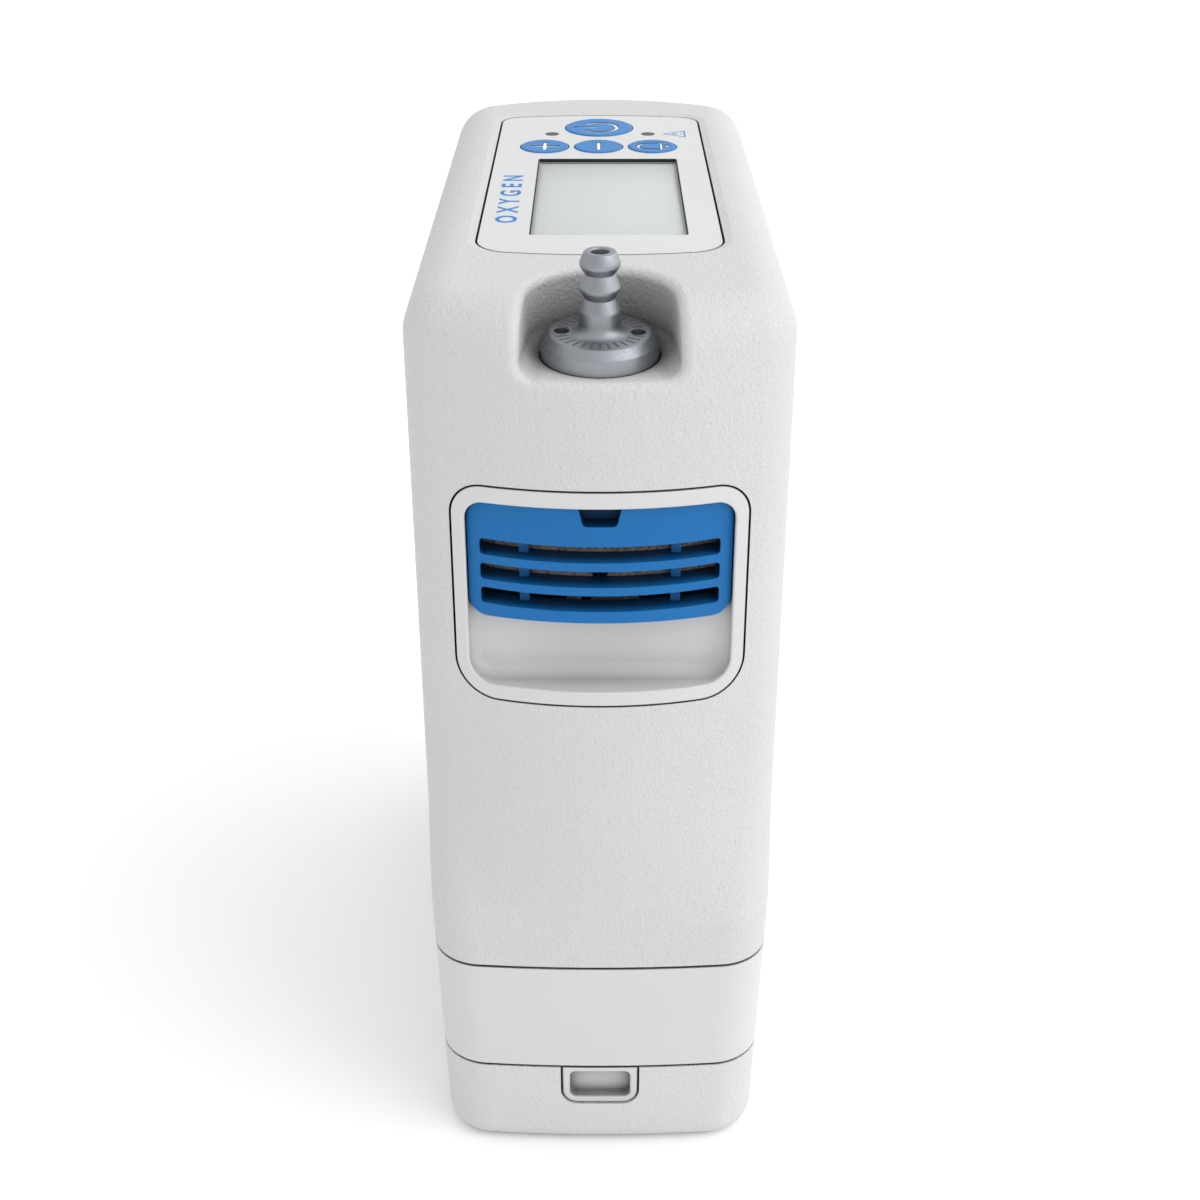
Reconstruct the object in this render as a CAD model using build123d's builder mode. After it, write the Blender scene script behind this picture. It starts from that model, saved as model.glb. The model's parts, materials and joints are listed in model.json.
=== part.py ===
"""Portable pulse-dose oxygen concentrator, standing on its battery.

Frame: origin at the centre of the footprint, +Z up, -Y towards the outlet and air intake,
+Y towards the exhaust, X across the slim width. Millimetres.
"""

import os
from math import cos, radians, sin, sqrt, tan

from build123d import *

os.makedirs("parts", exist_ok=True)

# ---------------------------------------------------------------- driving dimensions
WIDTH = 66.7  # across the slim body, X
LENGTH = 149.4  # front face to back face, Y
HEIGHT = 190.6  # floor to the top's high back edge
TOP_TILT = 7.0  # the top falls towards the front, degrees
WALL = 2.2  # casing wall
SEAM_GAP = 0.6  # shadow gap between stacked sections
CARTRIDGE_SEAM = 44.3  # height of the seam under the housing
BATTERY_SEAM = 20.0  # height of the seam over the battery

BOW_UPPER = 61.0  # plan radius of the bowed ends, upper housing
CORNER_UPPER = 10.8  # plan radius of its corners
BOW_SKIRT = 283.0  # plan radius of the almost flat ends at the seams
CORNER_SKIRT = 10.0  # plan radius of the corners at the seams
SKIRT_LOW = 54.0  # the ends start to blend from flat to bowed
SKIRT_HIGH = 80.0  # and are fully bowed here
TOP_EDGE_R = 8.5  # rounding of the top's outer edge
FOOT_EDGE_R = 4.0  # rounding of the battery's bottom edge
DRAFT = 1.84  # the sides lean in towards the foot, degrees
DRAFT_TOP = 62.0  # below this height

HALF_L = LENGTH / 2
HALF_W = WIDTH / 2
BOW_AXIS_Y = BOW_UPPER - HALF_L  # axis of the front bow, on the Y axis
TOP_MID = HEIGHT - HALF_L * tan(radians(TOP_TILT))  # height of the top at Y = 0
HOUSING_Z = CARTRIDGE_SEAM + SEAM_GAP / 2
CARTRIDGE_TOP = CARTRIDGE_SEAM - SEAM_GAP / 2
CARTRIDGE_Z = BATTERY_SEAM + SEAM_GAP / 2
BATTERY_TOP = BATTERY_SEAM - SEAM_GAP / 2

# control panel, in the plane of the top: x across, y from the middle towards the back
PANEL_HALF = 22.0
PANEL_FRONT = -45.1
PANEL_BACK = 52.8
PANEL_BOW = 99.0
PANEL_FRONT_R = 6.5
PANEL_BACK_R = 4.5
PANEL_GAP = 0.45
PANEL_SINK = 0.4  # the panel lies this far under the top
PANEL_T = 2.0
LCD_BOX = (-12.9, 16.1, -34.3, 16.4)  # x low, x high, y low, y high
LCD_DEPTH = 1.1
KEY_ROW_Y = 25.9
KEY_R = 5.15
KEY_GAP = 0.2
KEY_PROUD = 0.25
POWER_KEY = (-0.2, 41.8)
POWER_R = 7.5
LIGHT_X = 10.6
LIGHT_Y = 36.5
LIGHT_R = 1.5
BOARD_DEPTH = 7.2  # display board under the top

# oxygen outlet and its scoop, square to the top
OUTLET_Y = -61.8
OUTLET_Z = 162.3  # scoop floor on the outlet's axis
SCOOP_REACH = 27.0  # cut this far forward of the outlet
SCOOP_BACK_R = 12.4  # round back wall
SCOOP_FLARE = 5.0  # the sides open towards the front, degrees
SCOOP_BACK = 11.2  # from the outlet's axis to the scoop's back wall
FLANGE_R = 10.0
FLANGE_H = 4.1
WELL_R = 10.3
STEM_R = 3.5
STEM_L = 13.8
BORE_R = 1.5

# air intake
INTAKE_HALF = 25.5
INTAKE_LOW = 102.1
INTAKE_HIGH = 142.1
INTAKE_TOP_R = 5.5
INTAKE_LOW_R = 7.4
INTAKE_GAP = 0.4
MOUTH_HALF = 23.2
MOUTH_LOW = 104.7
MOUTH_LOW_R = 4.6
MOUTH_HIGH = 139.2
GRILLE_HALF = 22.95
GRILLE_LOW = 117.6
GRILLE_HIGH = 138.85
GRILLE_SINK = 1.4  # behind the bezel's face
GRILLE_T = 4.5
SLOT_HALF = 20.8
SLOT_H = 3.0
SLOT_Z = (130.3, 125.7, 121.15)
SLOT_SLOPE = 4.5  # the slots rise inwards, degrees
RIB_X = 13.2
RIB_W = 1.7
RIB_SET_BACK = 2.8  # behind the grille's face

# battery latch
LATCH_HALF = 7.5
LATCH_LOW = 10.8
LATCH_GAP = 0.4

# sieve cartridge and battery
PORT_BLOCK_Y = 58.4  # front face of the fixed block at the cartridge's back end
PIN_Y = 66.0  # row of battery contacts
RAIL_X = 24.6
COLUMN_X = 10.4
COLUMN_R = 9.4
COLUMN_Z = (CARTRIDGE_Z + CARTRIDGE_TOP) / 2

# compressor
CRANK_Z = 86.0
CRANK_THROW = 2.5
SHAFT_R = 2.5
PIN_R = 2.0
BORE_PISTON_R = 9.0
PISTON_FIT = 0.05
FAN_Z = 126.0

TOP_NORMAL = (0, -sin(radians(TOP_TILT)), cos(radians(TOP_TILT)))
TOP = Plane(origin=(0, 0, TOP_MID), x_dir=(1, 0, 0), z_dir=TOP_NORMAL)
OUTLET = Plane(origin=(0, OUTLET_Y, OUTLET_Z), x_dir=(1, 0, 0), z_dir=TOP.z_dir)
FRONT = Plane(origin=(0, -HALF_L, 0), x_dir=(1, 0, 0), z_dir=(0, -1, 0))
BACK = Plane(origin=(0, HALF_L, 0), x_dir=(-1, 0, 0), z_dir=(0, 1, 0))


def front_at(y):
    """Plane facing -Y at the given Y, drawn in X and Z."""
    return Plane(origin=(0, y, 0), x_dir=(1, 0, 0), z_dir=(0, -1, 0))


def save(part, name):
    """Labels a finished piece and writes it."""
    part.label = name
    export_step(part, f"parts/{name}.step")


# ---------------------------------------------------------------- shared outlines
def plan_outline(bow, corner, inset, half_width=HALF_W):
    """Plan of the casing: bowed ends, straight sides and rounded corners."""
    half_w = half_width - inset
    half_l = HALF_L - inset
    big = bow - inset
    small = corner - inset
    corner_x = half_w - small
    centre_y = half_l - big
    corner_y = centre_y + sqrt((big - small) ** 2 - corner_x**2)
    reach = big / (big - small)
    touch_x = corner_x * reach
    touch_y = centre_y + (corner_y - centre_y) * reach
    away = Vector(touch_x - corner_x, touch_y - corner_y).normalized() + Vector(1, 0)
    middle = Vector(corner_x, corner_y) + away.normalized() * small
    ThreePointArc((-touch_x, -touch_y), (0, -half_l), (touch_x, -touch_y))
    ThreePointArc((touch_x, -touch_y), (middle.X, -middle.Y), (half_w, -corner_y))
    Line((half_w, -corner_y), (half_w, corner_y))
    ThreePointArc((half_w, corner_y), (middle.X, middle.Y), (touch_x, touch_y))
    ThreePointArc((touch_x, touch_y), (0, half_l), (-touch_x, touch_y))
    ThreePointArc((-touch_x, touch_y), (-middle.X, middle.Y), (-half_w, corner_y))
    Line((-half_w, corner_y), (-half_w, -corner_y))
    ThreePointArc((-half_w, -corner_y), (-middle.X, -middle.Y), (-touch_x, -touch_y))


def half_width_at(z):
    """Half the casing's width at a height: upright sides that lean in towards the foot."""
    return HALF_W - max(0, DRAFT_TOP - z) * tan(radians(DRAFT))


def housing_envelope(inset, low):
    """Solid block of the upper casing, moved inwards by inset, from low up to the sloping top."""
    with BuildPart() as body:
        steps = 5
        for step in range(steps + 1):
            share = step / steps
            ease = 1 - (1 - share) ** 2
            bow = 1 / (1 / BOW_SKIRT + ease * (1 / BOW_UPPER - 1 / BOW_SKIRT))
            corner = CORNER_SKIRT + ease * (CORNER_UPPER - CORNER_SKIRT)
            z = SKIRT_LOW + share * (SKIRT_HIGH - SKIRT_LOW)
            with BuildSketch(Plane.XY.offset(z)):
                with BuildLine():
                    plan_outline(bow, corner, inset, half_width_at(z))
                make_face()
        loft()
        add(base_envelope(inset, low, SKIRT_LOW))
        with BuildSketch(Plane.XY.offset(SKIRT_HIGH)):
            with BuildLine():
                plan_outline(BOW_UPPER, CORNER_UPPER, inset)
            make_face()
        extrude(amount=HEIGHT)
        with BuildSketch(TOP.offset(-inset)):
            Rectangle(2 * LENGTH, 2 * LENGTH)
        extrude(amount=2 * HEIGHT, mode=Mode.SUBTRACT)
        fillet(body.faces().sort_by(Axis.Z)[-1].edges(), radius=TOP_EDGE_R - inset)
    return body.part


def base_envelope(inset, low, high):
    """Solid slab of the cartridge and battery outline between two heights, with side draft."""
    with BuildPart() as body:
        for z in (low, high):
            with BuildSketch(Plane.XY.offset(z)):
                with BuildLine():
                    plan_outline(BOW_SKIRT, CORNER_SKIRT, inset, half_width_at(z))
                make_face()
        loft(ruled=True)
    return body.part


def panel_outline(grow):
    """Outline of the control panel on the top, grown by the given distance."""
    half = PANEL_HALF + grow
    front = PANEL_FRONT - grow
    back = PANEL_BACK + grow
    bow = PANEL_BOW + grow
    sag = bow - sqrt(bow**2 - half**2)
    Line((-half, back - sag), (-half, front + sag))
    ThreePointArc((-half, front + sag), (0, front), (half, front + sag))
    Line((half, front + sag), (half, back - sag))
    ThreePointArc((half, back - sag), (0, back), (-half, back - sag))


def panel_face(grow):
    """Filled control panel outline with its rounded corners."""
    with BuildSketch(Plane.XY) as face:
        with BuildLine():
            panel_outline(grow)
        make_face()
        corners = face.vertices().group_by(Axis.Y)
        fillet(corners[0], radius=PANEL_FRONT_R + grow)
        fillet(face.vertices().group_by(Axis.Y)[-1], radius=PANEL_BACK_R + grow)
    return face.sketch


def mouth_face(half, low, high, top_r, low_r):
    """Upright rounded rectangle, its lower corners rounder than its upper ones."""
    with BuildSketch(Plane.XY) as face:
        with Locations((0, (low + high) / 2)):
            Rectangle(2 * half, high - low)
        fillet(face.vertices().group_by(Axis.Y)[0], radius=low_r)
        fillet(face.vertices().group_by(Axis.Y)[-1], radius=top_r)
    return face.sketch


def intake_face(grow):
    """Outline of the intake frame, grown by the given distance."""
    return mouth_face(
        INTAKE_HALF + grow,
        INTAKE_LOW - grow,
        INTAKE_HIGH + grow,
        INTAKE_TOP_R + grow,
        INTAKE_LOW_R + grow,
    )


def bow_block(radius, low, high):
    """Upright round block about the axis of the front bow."""
    with BuildPart() as block:
        with BuildSketch(Plane(origin=(0, BOW_AXIS_Y, low))):
            Circle(radius)
        extrude(amount=high - low)
    return block.part


def on_bow(point, radius):
    """Whether a point is on the upright cylinder about the axis of the front bow."""
    return abs(sqrt(point.X**2 + (point.Y - BOW_AXIS_Y) ** 2) - radius) < 0.05


# ---------------------------------------------------------------- casing
def scoop_pocket(grow):
    """Room cut for the outlet, open to the front and top, with a round back."""
    with BuildPart() as pocket:
        with BuildSketch(OUTLET.offset(-grow)):
            with BuildLine():
                radius = SCOOP_BACK_R + grow
                middle = SCOOP_BACK - SCOOP_BACK_R
                flare = radians(SCOOP_FLARE)
                touch_x = radius * cos(flare)
                touch_y = middle + radius * sin(flare)
                front_x = touch_x + (touch_y + SCOOP_REACH) * tan(flare)
                Line((-front_x, -SCOOP_REACH), (-touch_x, touch_y))
                ThreePointArc((-touch_x, touch_y), (0, middle + radius), (touch_x, touch_y))
                Line((touch_x, touch_y), (front_x, -SCOOP_REACH))
                Line((front_x, -SCOOP_REACH), (-front_x, -SCOOP_REACH))
            make_face()
        extrude(amount=30)
        floor = pocket.faces().sort_by(Axis.Z)[0]
        inner = floor.edges().filter_by(lambda edge: edge.center().Y > OUTLET_Y - SCOOP_REACH + 5)
        fillet(inner, radius=2.6 + grow)
    return pocket.part


housing_block = housing_envelope(0, HOUSING_Z)

# room for the works: the casing's inside, less the scoop's own wall
with BuildPart() as works_room:
    add(housing_envelope(WALL, HOUSING_Z - 1))
    add(scoop_pocket(WALL), mode=Mode.SUBTRACT)

with BuildPart() as main_housing:
    add(housing_block)
    outer_faces = main_housing.faces()
    add(scoop_pocket(0), mode=Mode.SUBTRACT)
    floor_z = OUTLET_Z - SCOOP_REACH * sin(radians(TOP_TILT))
    rim = [
        edge
        for edge in main_housing.edges(Select.LAST)
        if min(face.distance_to(edge.center()) for face in outer_faces) < 1e-3
        and edge.center().Z > floor_z
    ]
    fillet(rim, radius=1.6)
    add(works_room.part, mode=Mode.SUBTRACT)
    # shallow soft dish around the control panel, and its opening
    with BuildSketch(TOP.offset(0.2)):
        add(panel_face(2.6))
    with BuildSketch(TOP.offset(-PANEL_SINK)):
        add(panel_face(PANEL_GAP))
    loft(mode=Mode.SUBTRACT)
    with BuildSketch(TOP.offset(-2 * WALL)):
        add(panel_face(PANEL_GAP))
    extrude(amount=3 * WALL, mode=Mode.SUBTRACT)
    # well for the outlet flange
    with BuildSketch(OUTLET.offset(1)):
        Circle(WELL_R)
    extrude(amount=-2 * WALL, mode=Mode.SUBTRACT)
    # intake and exhaust openings
    with BuildSketch(FRONT):
        add(intake_face(INTAKE_GAP))
    extrude(amount=-12, mode=Mode.SUBTRACT)
    with BuildSketch(BACK):
        add(intake_face(INTAKE_GAP))
        with Locations((0, 60)):
            Circle(6.2)
    extrude(amount=-12, mode=Mode.SUBTRACT)
save(main_housing.part, "main_housing")

with BuildPart() as control_panel:
    with BuildSketch(TOP.offset(-PANEL_SINK)):
        add(panel_face(0))
    extrude(amount=-PANEL_T)
    with BuildSketch(TOP.offset(-PANEL_SINK - PANEL_T)):
        add(panel_face(1.6))
    extrude(amount=-0.9)
    with BuildSketch(TOP):
        with Locations(((LCD_BOX[0] + LCD_BOX[1]) / 2, (LCD_BOX[2] + LCD_BOX[3]) / 2)):
            RectangleRounded(LCD_BOX[1] - LCD_BOX[0], LCD_BOX[3] - LCD_BOX[2], 0.6)
        with Locations((-11.9, KEY_ROW_Y), (-0.3, KEY_ROW_Y), (11.3, KEY_ROW_Y)):
            Circle(KEY_R + KEY_GAP)
        with Locations(POWER_KEY):
            Circle(POWER_R + KEY_GAP)
        with Locations((-LIGHT_X, LIGHT_Y), (LIGHT_X, LIGHT_Y)):
            Circle(LIGHT_R + 0.05)
    extrude(amount=-8, mode=Mode.SUBTRACT)
save(control_panel.part, "control_panel")

LCD_W = LCD_BOX[1] - LCD_BOX[0]
LCD_L = LCD_BOX[3] - LCD_BOX[2]
LCD_MID = ((LCD_BOX[0] + LCD_BOX[1]) / 2, (LCD_BOX[2] + LCD_BOX[3]) / 2)

with BuildPart() as lcd_window:
    with BuildSketch(TOP.offset(-PANEL_SINK - LCD_DEPTH)):
        with Locations(LCD_MID):
            RectangleRounded(LCD_W - 0.2, LCD_L - 0.2, 0.5)
    extrude(amount=-0.8)
save(lcd_window.part, "lcd_window")

with BuildPart() as lcd_module:
    with BuildSketch(TOP.offset(-PANEL_SINK - LCD_DEPTH - 0.8)):
        with Locations(LCD_MID):
            Rectangle(LCD_W - 0.4, LCD_L - 0.4)
    extrude(amount=-1.4)
    with BuildSketch(TOP.offset(-PANEL_SINK - PANEL_T - 1.0)):
        with Locations(LCD_MID):
            Rectangle(LCD_W + 3, LCD_L + 4)
    extrude(amount=-2.2)
save(lcd_module.part, "lcd_module")


def key_plane(x, y, height):
    """Plane along the top at a point of the panel, at a height over the panel's face."""
    origin = TOP.from_local_coords((x, y, height - PANEL_SINK))
    return Plane(origin=origin, x_dir=(1, 0, 0), z_dir=TOP_NORMAL)


def press_key(name, x, y, radius):
    """Round key: a cap through the panel, a flange under it and a short plunger."""
    with BuildPart() as key:
        with BuildSketch(key_plane(x, y, KEY_PROUD)):
            Circle(radius)
        extrude(amount=-PANEL_T - 1.2 - KEY_PROUD)
        with BuildSketch(key_plane(x, y, -PANEL_T - 1.2)):
            Circle(radius + 0.5)
        extrude(amount=-0.8)
        with BuildSketch(key_plane(x, y, -PANEL_T - 2.0)):
            Circle(1.6)
        extrude(amount=-0.8)
        fillet(key.edges().filter_by(GeomType.CIRCLE).sort_by(Axis.Z)[-1], radius=0.2)
    save(key.part, name)


press_key("plus_button", -11.9, KEY_ROW_Y, KEY_R)
press_key("minus_button", -0.3, KEY_ROW_Y, KEY_R)
press_key("alert_button", 11.3, KEY_ROW_Y, KEY_R)
press_key("power_button", POWER_KEY[0], POWER_KEY[1], POWER_R)

with BuildPart() as display_board:
    with BuildSketch(TOP.offset(-BOARD_DEPTH)):
        with Locations((0, 9)):
            RectangleRounded(42, 92, 2)
    extrude(amount=-1.6)
save(display_board.part, "display_board")

with BuildPart() as switch_domes:
    with BuildSketch(TOP.offset(-BOARD_DEPTH)):
        with Locations((-11.9, KEY_ROW_Y), (-0.3, KEY_ROW_Y), (11.3, KEY_ROW_Y), POWER_KEY):
            Circle(2.6)
    extrude(amount=0.8, taper=25)
save(switch_domes.part, "switch_domes")

with BuildPart() as status_lights:
    with BuildSketch(TOP.offset(-BOARD_DEPTH)):
        with Locations((-LIGHT_X, LIGHT_Y), (LIGHT_X, LIGHT_Y)):
            Circle(LIGHT_R)
    extrude(amount=BOARD_DEPTH - PANEL_SINK)
save(status_lights.part, "status_lights")

with BuildPart() as buzzer:
    with BuildSketch(TOP.offset(-BOARD_DEPTH - 1.6)):
        with Locations((-12, 44)):
            Circle(5.5)
    extrude(amount=-4.5)
    with BuildSketch(TOP.offset(-BOARD_DEPTH - 6.1)):
        with Locations((-12, 44)):
            Circle(1)
    extrude(amount=1.5, mode=Mode.SUBTRACT)
save(buzzer.part, "buzzer")

# ---------------------------------------------------------------- intake and exhaust
BEZEL_DEPTH = 11.0

# finger scoop below the grille, and the hollow in the frame that holds both
with BuildPart() as finger_room:
    with BuildSketch(FRONT.offset(2)):
        add(mouth_face(MOUTH_HALF, MOUTH_LOW, MOUTH_HIGH, 3.4, MOUTH_LOW_R))
    extrude(amount=-10)
    fillet(finger_room.faces().sort_by(Axis.Y)[-1].edges(), radius=2.4)

with BuildPart() as intake_bezel:
    with BuildSketch(FRONT):
        add(intake_face(0))
    extrude(amount=-BEZEL_DEPTH - 6)
    add(bow_block(BOW_UPPER, INTAKE_LOW - 5, INTAKE_HIGH + 5), mode=Mode.INTERSECT)
    add(bow_block(BOW_UPPER - BEZEL_DEPTH, INTAKE_LOW - 5, INTAKE_HIGH + 5), mode=Mode.SUBTRACT)
    add(finger_room.part, mode=Mode.SUBTRACT)
    lip = [edge for edge in intake_bezel.edges(Select.LAST) if on_bow(edge.center(), BOW_UPPER)]
    fillet(lip, radius=0.35)
    # way through behind the grille
    with BuildSketch(FRONT.offset(-5)):
        add(mouth_face(MOUTH_HALF, GRILLE_LOW - 0.4, MOUTH_HIGH, 3.4, 3.4))
    extrude(amount=-BEZEL_DEPTH - 6, mode=Mode.SUBTRACT)
save(intake_bezel.part, "intake_bezel")

GRILLE_FACE_R = BOW_UPPER - GRILLE_SINK

with BuildPart() as intake_grille:
    with BuildSketch(FRONT):
        add(mouth_face(GRILLE_HALF, GRILLE_LOW, GRILLE_HIGH, 3.1, 3.3))
    extrude(amount=-16)
    add(bow_block(GRILLE_FACE_R, GRILLE_LOW - 5, GRILLE_HIGH + 5), mode=Mode.INTERSECT)
    add(bow_block(GRILLE_FACE_R - GRILLE_T, GRILLE_LOW - 5, GRILLE_HIGH + 5), mode=Mode.SUBTRACT)
    outwards = (0, -cos(radians(SLOT_SLOPE)), -sin(radians(SLOT_SLOPE)))
    for slot_z in SLOT_Z:
        tilted = Plane(origin=(0, -HALF_L, slot_z), x_dir=(1, 0, 0), z_dir=outwards)
        with BuildSketch(tilted.offset(4)):
            RectangleRounded(2 * SLOT_HALF, SLOT_H, 0.7)
        extrude(amount=-30, mode=Mode.SUBTRACT)
    # ribs across the slots, set back behind the face
    for rib_x in (-RIB_X, RIB_X):
        face_y = BOW_AXIS_Y - sqrt(GRILLE_FACE_R**2 - rib_x**2)
        with BuildSketch(front_at(face_y + RIB_SET_BACK)):
            with Locations((rib_x, SLOT_Z[1])):
                Rectangle(RIB_W, SLOT_Z[0] - SLOT_Z[2] + 2 * SLOT_H)
        extrude(amount=RIB_SET_BACK - GRILLE_T + 0.3)
    # finger notch at the top edge
    with BuildSketch(FRONT):
        with BuildLine():
            Polyline(
                (-3.9, GRILLE_HIGH + 1),
                (3.9, GRILLE_HIGH + 1),
                (2.9, GRILLE_HIGH - 3.3),
                (-2.9, GRILLE_HIGH - 3.3),
                close=True,
            )
        make_face()
        fillet(vertices().group_by(Axis.Y)[0], radius=0.9)
    extrude(amount=-GRILLE_SINK - 4.2, mode=Mode.SUBTRACT)
save(intake_grille.part, "intake_grille")

with BuildPart() as filter_media:
    with BuildSketch(FRONT):
        add(mouth_face(GRILLE_HALF - 0.4, GRILLE_LOW + 3.4, GRILLE_HIGH - 0.4, 3, 3))
        # way through for the grille's catch
        with Locations((0, SLOT_Z[1] - 0.4)):
            Trapezoid(4.2, 3.0, 110, mode=Mode.SUBTRACT)
    extrude(amount=-20)
    add(bow_block(GRILLE_FACE_R - GRILLE_T, GRILLE_LOW, GRILLE_HIGH), mode=Mode.INTERSECT)
    add(bow_block(GRILLE_FACE_R - GRILLE_T - 3.5, GRILLE_LOW, GRILLE_HIGH), mode=Mode.SUBTRACT)
save(filter_media.part, "filter_media")

# curved sheet that the exhaust grille is cut from
with BuildPart() as back_bow:
    with BuildSketch(Plane(origin=(0, -BOW_AXIS_Y, INTAKE_LOW - 5))):
        Circle(BOW_UPPER)
        Circle(BOW_UPPER - 3.2, mode=Mode.SUBTRACT)
    extrude(amount=INTAKE_HIGH - INTAKE_LOW + 10)

with BuildPart() as exhaust_grille:
    with BuildSketch(BACK):
        add(intake_face(0))
    extrude(amount=-14)
    add(back_bow.part, mode=Mode.INTERSECT)
    with BuildSketch(BACK):
        with GridLocations(0, 4.6, 1, 7):
            with Locations((0, (INTAKE_LOW + INTAKE_HIGH) / 2)):
                RectangleRounded(2 * SLOT_HALF, 2.4, 0.8)
    extrude(amount=-14, mode=Mode.SUBTRACT)
    with BuildSketch(BACK.offset(-1.2)):
        with Locations((-9, 122), (9, 122)):
            Rectangle(1.8, 31)
    extrude(amount=-3)
save(exhaust_grille.part, "exhaust_grille")

# ---------------------------------------------------------------- oxygen outlet
TIP = FLANGE_H + STEM_L
ROOT_R = 1.2  # flare at the foot of the stem

with BuildPart() as outlet_nozzle:
    with BuildSketch(Plane(origin=OUTLET.origin, x_dir=(1, 0, 0), z_dir=-OUTLET.y_dir)):
        # x is the radius, y runs up the outlet's axis
        with BuildLine():
            Polyline(
                (STEM_R, FLANGE_H + ROOT_R),
                (STEM_R, TIP - 10.0),
                (2.5, TIP - 7.9),
                (2.6, TIP - 7.8),
                (3.42, TIP - 6.3),
                (3.42, TIP - 6.0),
                (2.5, TIP - 3.7),
                (2.7, TIP - 3.6),
                (3.36, TIP - 2.7),
                (3.36, TIP - 1.7),
                (2.6, TIP),
                (BORE_R, TIP),
                (BORE_R, -WALL - 7),
                (6.0, -WALL - 7),
                (6.0, -WALL - 0.6),
                (FLANGE_R, -WALL - 0.6),
                (FLANGE_R - 0.2, FLANGE_H - 1.4),
                (FLANGE_R - 1.6, FLANGE_H),
                (STEM_R + ROOT_R, FLANGE_H),
            )
            RadiusArc((STEM_R + ROOT_R, FLANGE_H), (STEM_R, FLANGE_H + ROOT_R), ROOT_R)
        make_face()
    revolve(axis=Axis(OUTLET.origin, OUTLET.z_dir))
save(outlet_nozzle.part, "outlet_nozzle")

with BuildPart() as nozzle_oring:
    with BuildSketch(OUTLET.offset(-WALL - 0.6)):
        Circle(8.4)
        Circle(6.05, mode=Mode.SUBTRACT)
    extrude(amount=-1.6)
save(nozzle_oring.part, "nozzle_oring")

with BuildPart() as output_filter:
    with BuildSketch(OUTLET.offset(-WALL - 3)):
        Circle(9)
        Circle(6.1, mode=Mode.SUBTRACT)
    extrude(amount=-3)
    with BuildSketch(OUTLET.offset(-WALL - 7.2)):
        Circle(9)
    extrude(amount=-3.2)
    with BuildSketch(OUTLET.offset(-WALL - 6)):
        Circle(9)
        Circle(6.6, mode=Mode.SUBTRACT)
    extrude(amount=-1.4)
    with BuildSketch(OUTLET.offset(-WALL - 10.4)):
        Circle(2)
    extrude(amount=-3)
save(output_filter.part, "output_filter")

# ---------------------------------------------------------------- chassis and gas ports
CHASSIS_Z = HOUSING_Z + 0.4
CHASSIS_T = 2.4
CHASSIS_TOP = CHASSIS_Z + CHASSIS_T


def tee_rail(low, high):
    """Pair of rails of T section hanging along the body, from high down to low."""
    with BuildPart() as rails:
        with BuildSketch(Plane.XY.offset(high)):
            with Locations((-RAIL_X, 0), (RAIL_X, 0)):
                Rectangle(3, 116)
        extrude(amount=low + 2 - high)
        with BuildSketch(Plane.XY.offset(low)):
            with Locations((-RAIL_X, 0), (RAIL_X, 0)):
                Rectangle(6.4, 116)
        extrude(amount=2)
    return rails.part


def tee_slot(low, high):
    """Room for the T rails, open at the back end."""
    with BuildPart() as slots:
        with BuildSketch(Plane.XY.offset(high)):
            with Locations((-RAIL_X, 10), (RAIL_X, 10)):
                Rectangle(4, 140)
        extrude(amount=low + 2 - high)
        with BuildSketch(Plane.XY.offset(low - 0.4)):
            with Locations((-RAIL_X, 10), (RAIL_X, 10)):
                Rectangle(7.4, 140)
        extrude(amount=2.8)
    return slots.part


def tee_channel(low, high, length, middle):
    """Walls round the T slots, hanging from the plate above them."""
    with BuildPart() as channels:
        with BuildSketch(Plane.XY.offset(high)):
            with Locations((-RAIL_X, middle), (RAIL_X, middle)):
                Rectangle(9.4, length)
        extrude(amount=low - 1.8 - high)
    return channels.part


RAIL_DROP = 4.6
TOP_RAIL_LOW = CARTRIDGE_TOP - RAIL_DROP
LOW_RAIL_LOW = BATTERY_TOP - RAIL_DROP

with BuildPart() as chassis:
    add(base_envelope(WALL + 0.4, CHASSIS_Z, CHASSIS_TOP))
    add(tee_rail(TOP_RAIL_LOW, CHASSIS_Z))
    # stiffening kerb round the plate
    add(base_envelope(WALL + 0.4, CHASSIS_TOP, CHASSIS_TOP + 1.6))
    add(base_envelope(WALL + 2.4, CHASSIS_TOP, CHASSIS_TOP + 1.6), mode=Mode.SUBTRACT)
    with Locations((0, 0, CHASSIS_TOP)):
        with GridLocations(50, 116, 2, 2):
            Cylinder(3.2, 4, align=(Align.CENTER, Align.CENTER, Align.MIN))
            Hole(1.2, 4)
save(chassis.part, "chassis")

with BuildPart() as chassis_screws:
    with BuildSketch(Plane.XY.offset(CHASSIS_TOP + 4)):
        with GridLocations(50, 116, 2, 2):
            Circle(2.4)
    extrude(amount=1.6)
    with BuildSketch(Plane.XY.offset(CHASSIS_TOP + 4)):
        with GridLocations(50, 116, 2, 2):
            Circle(1.15)
    extrude(amount=-3.8)
    with BuildSketch(Plane.XY.offset(CHASSIS_TOP + 5.6)):
        with GridLocations(50, 116, 2, 2):
            RegularPolygon(1.1, 6)
    extrude(amount=-0.9, mode=Mode.SUBTRACT)
save(chassis_screws.part, "chassis_screws")

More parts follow.
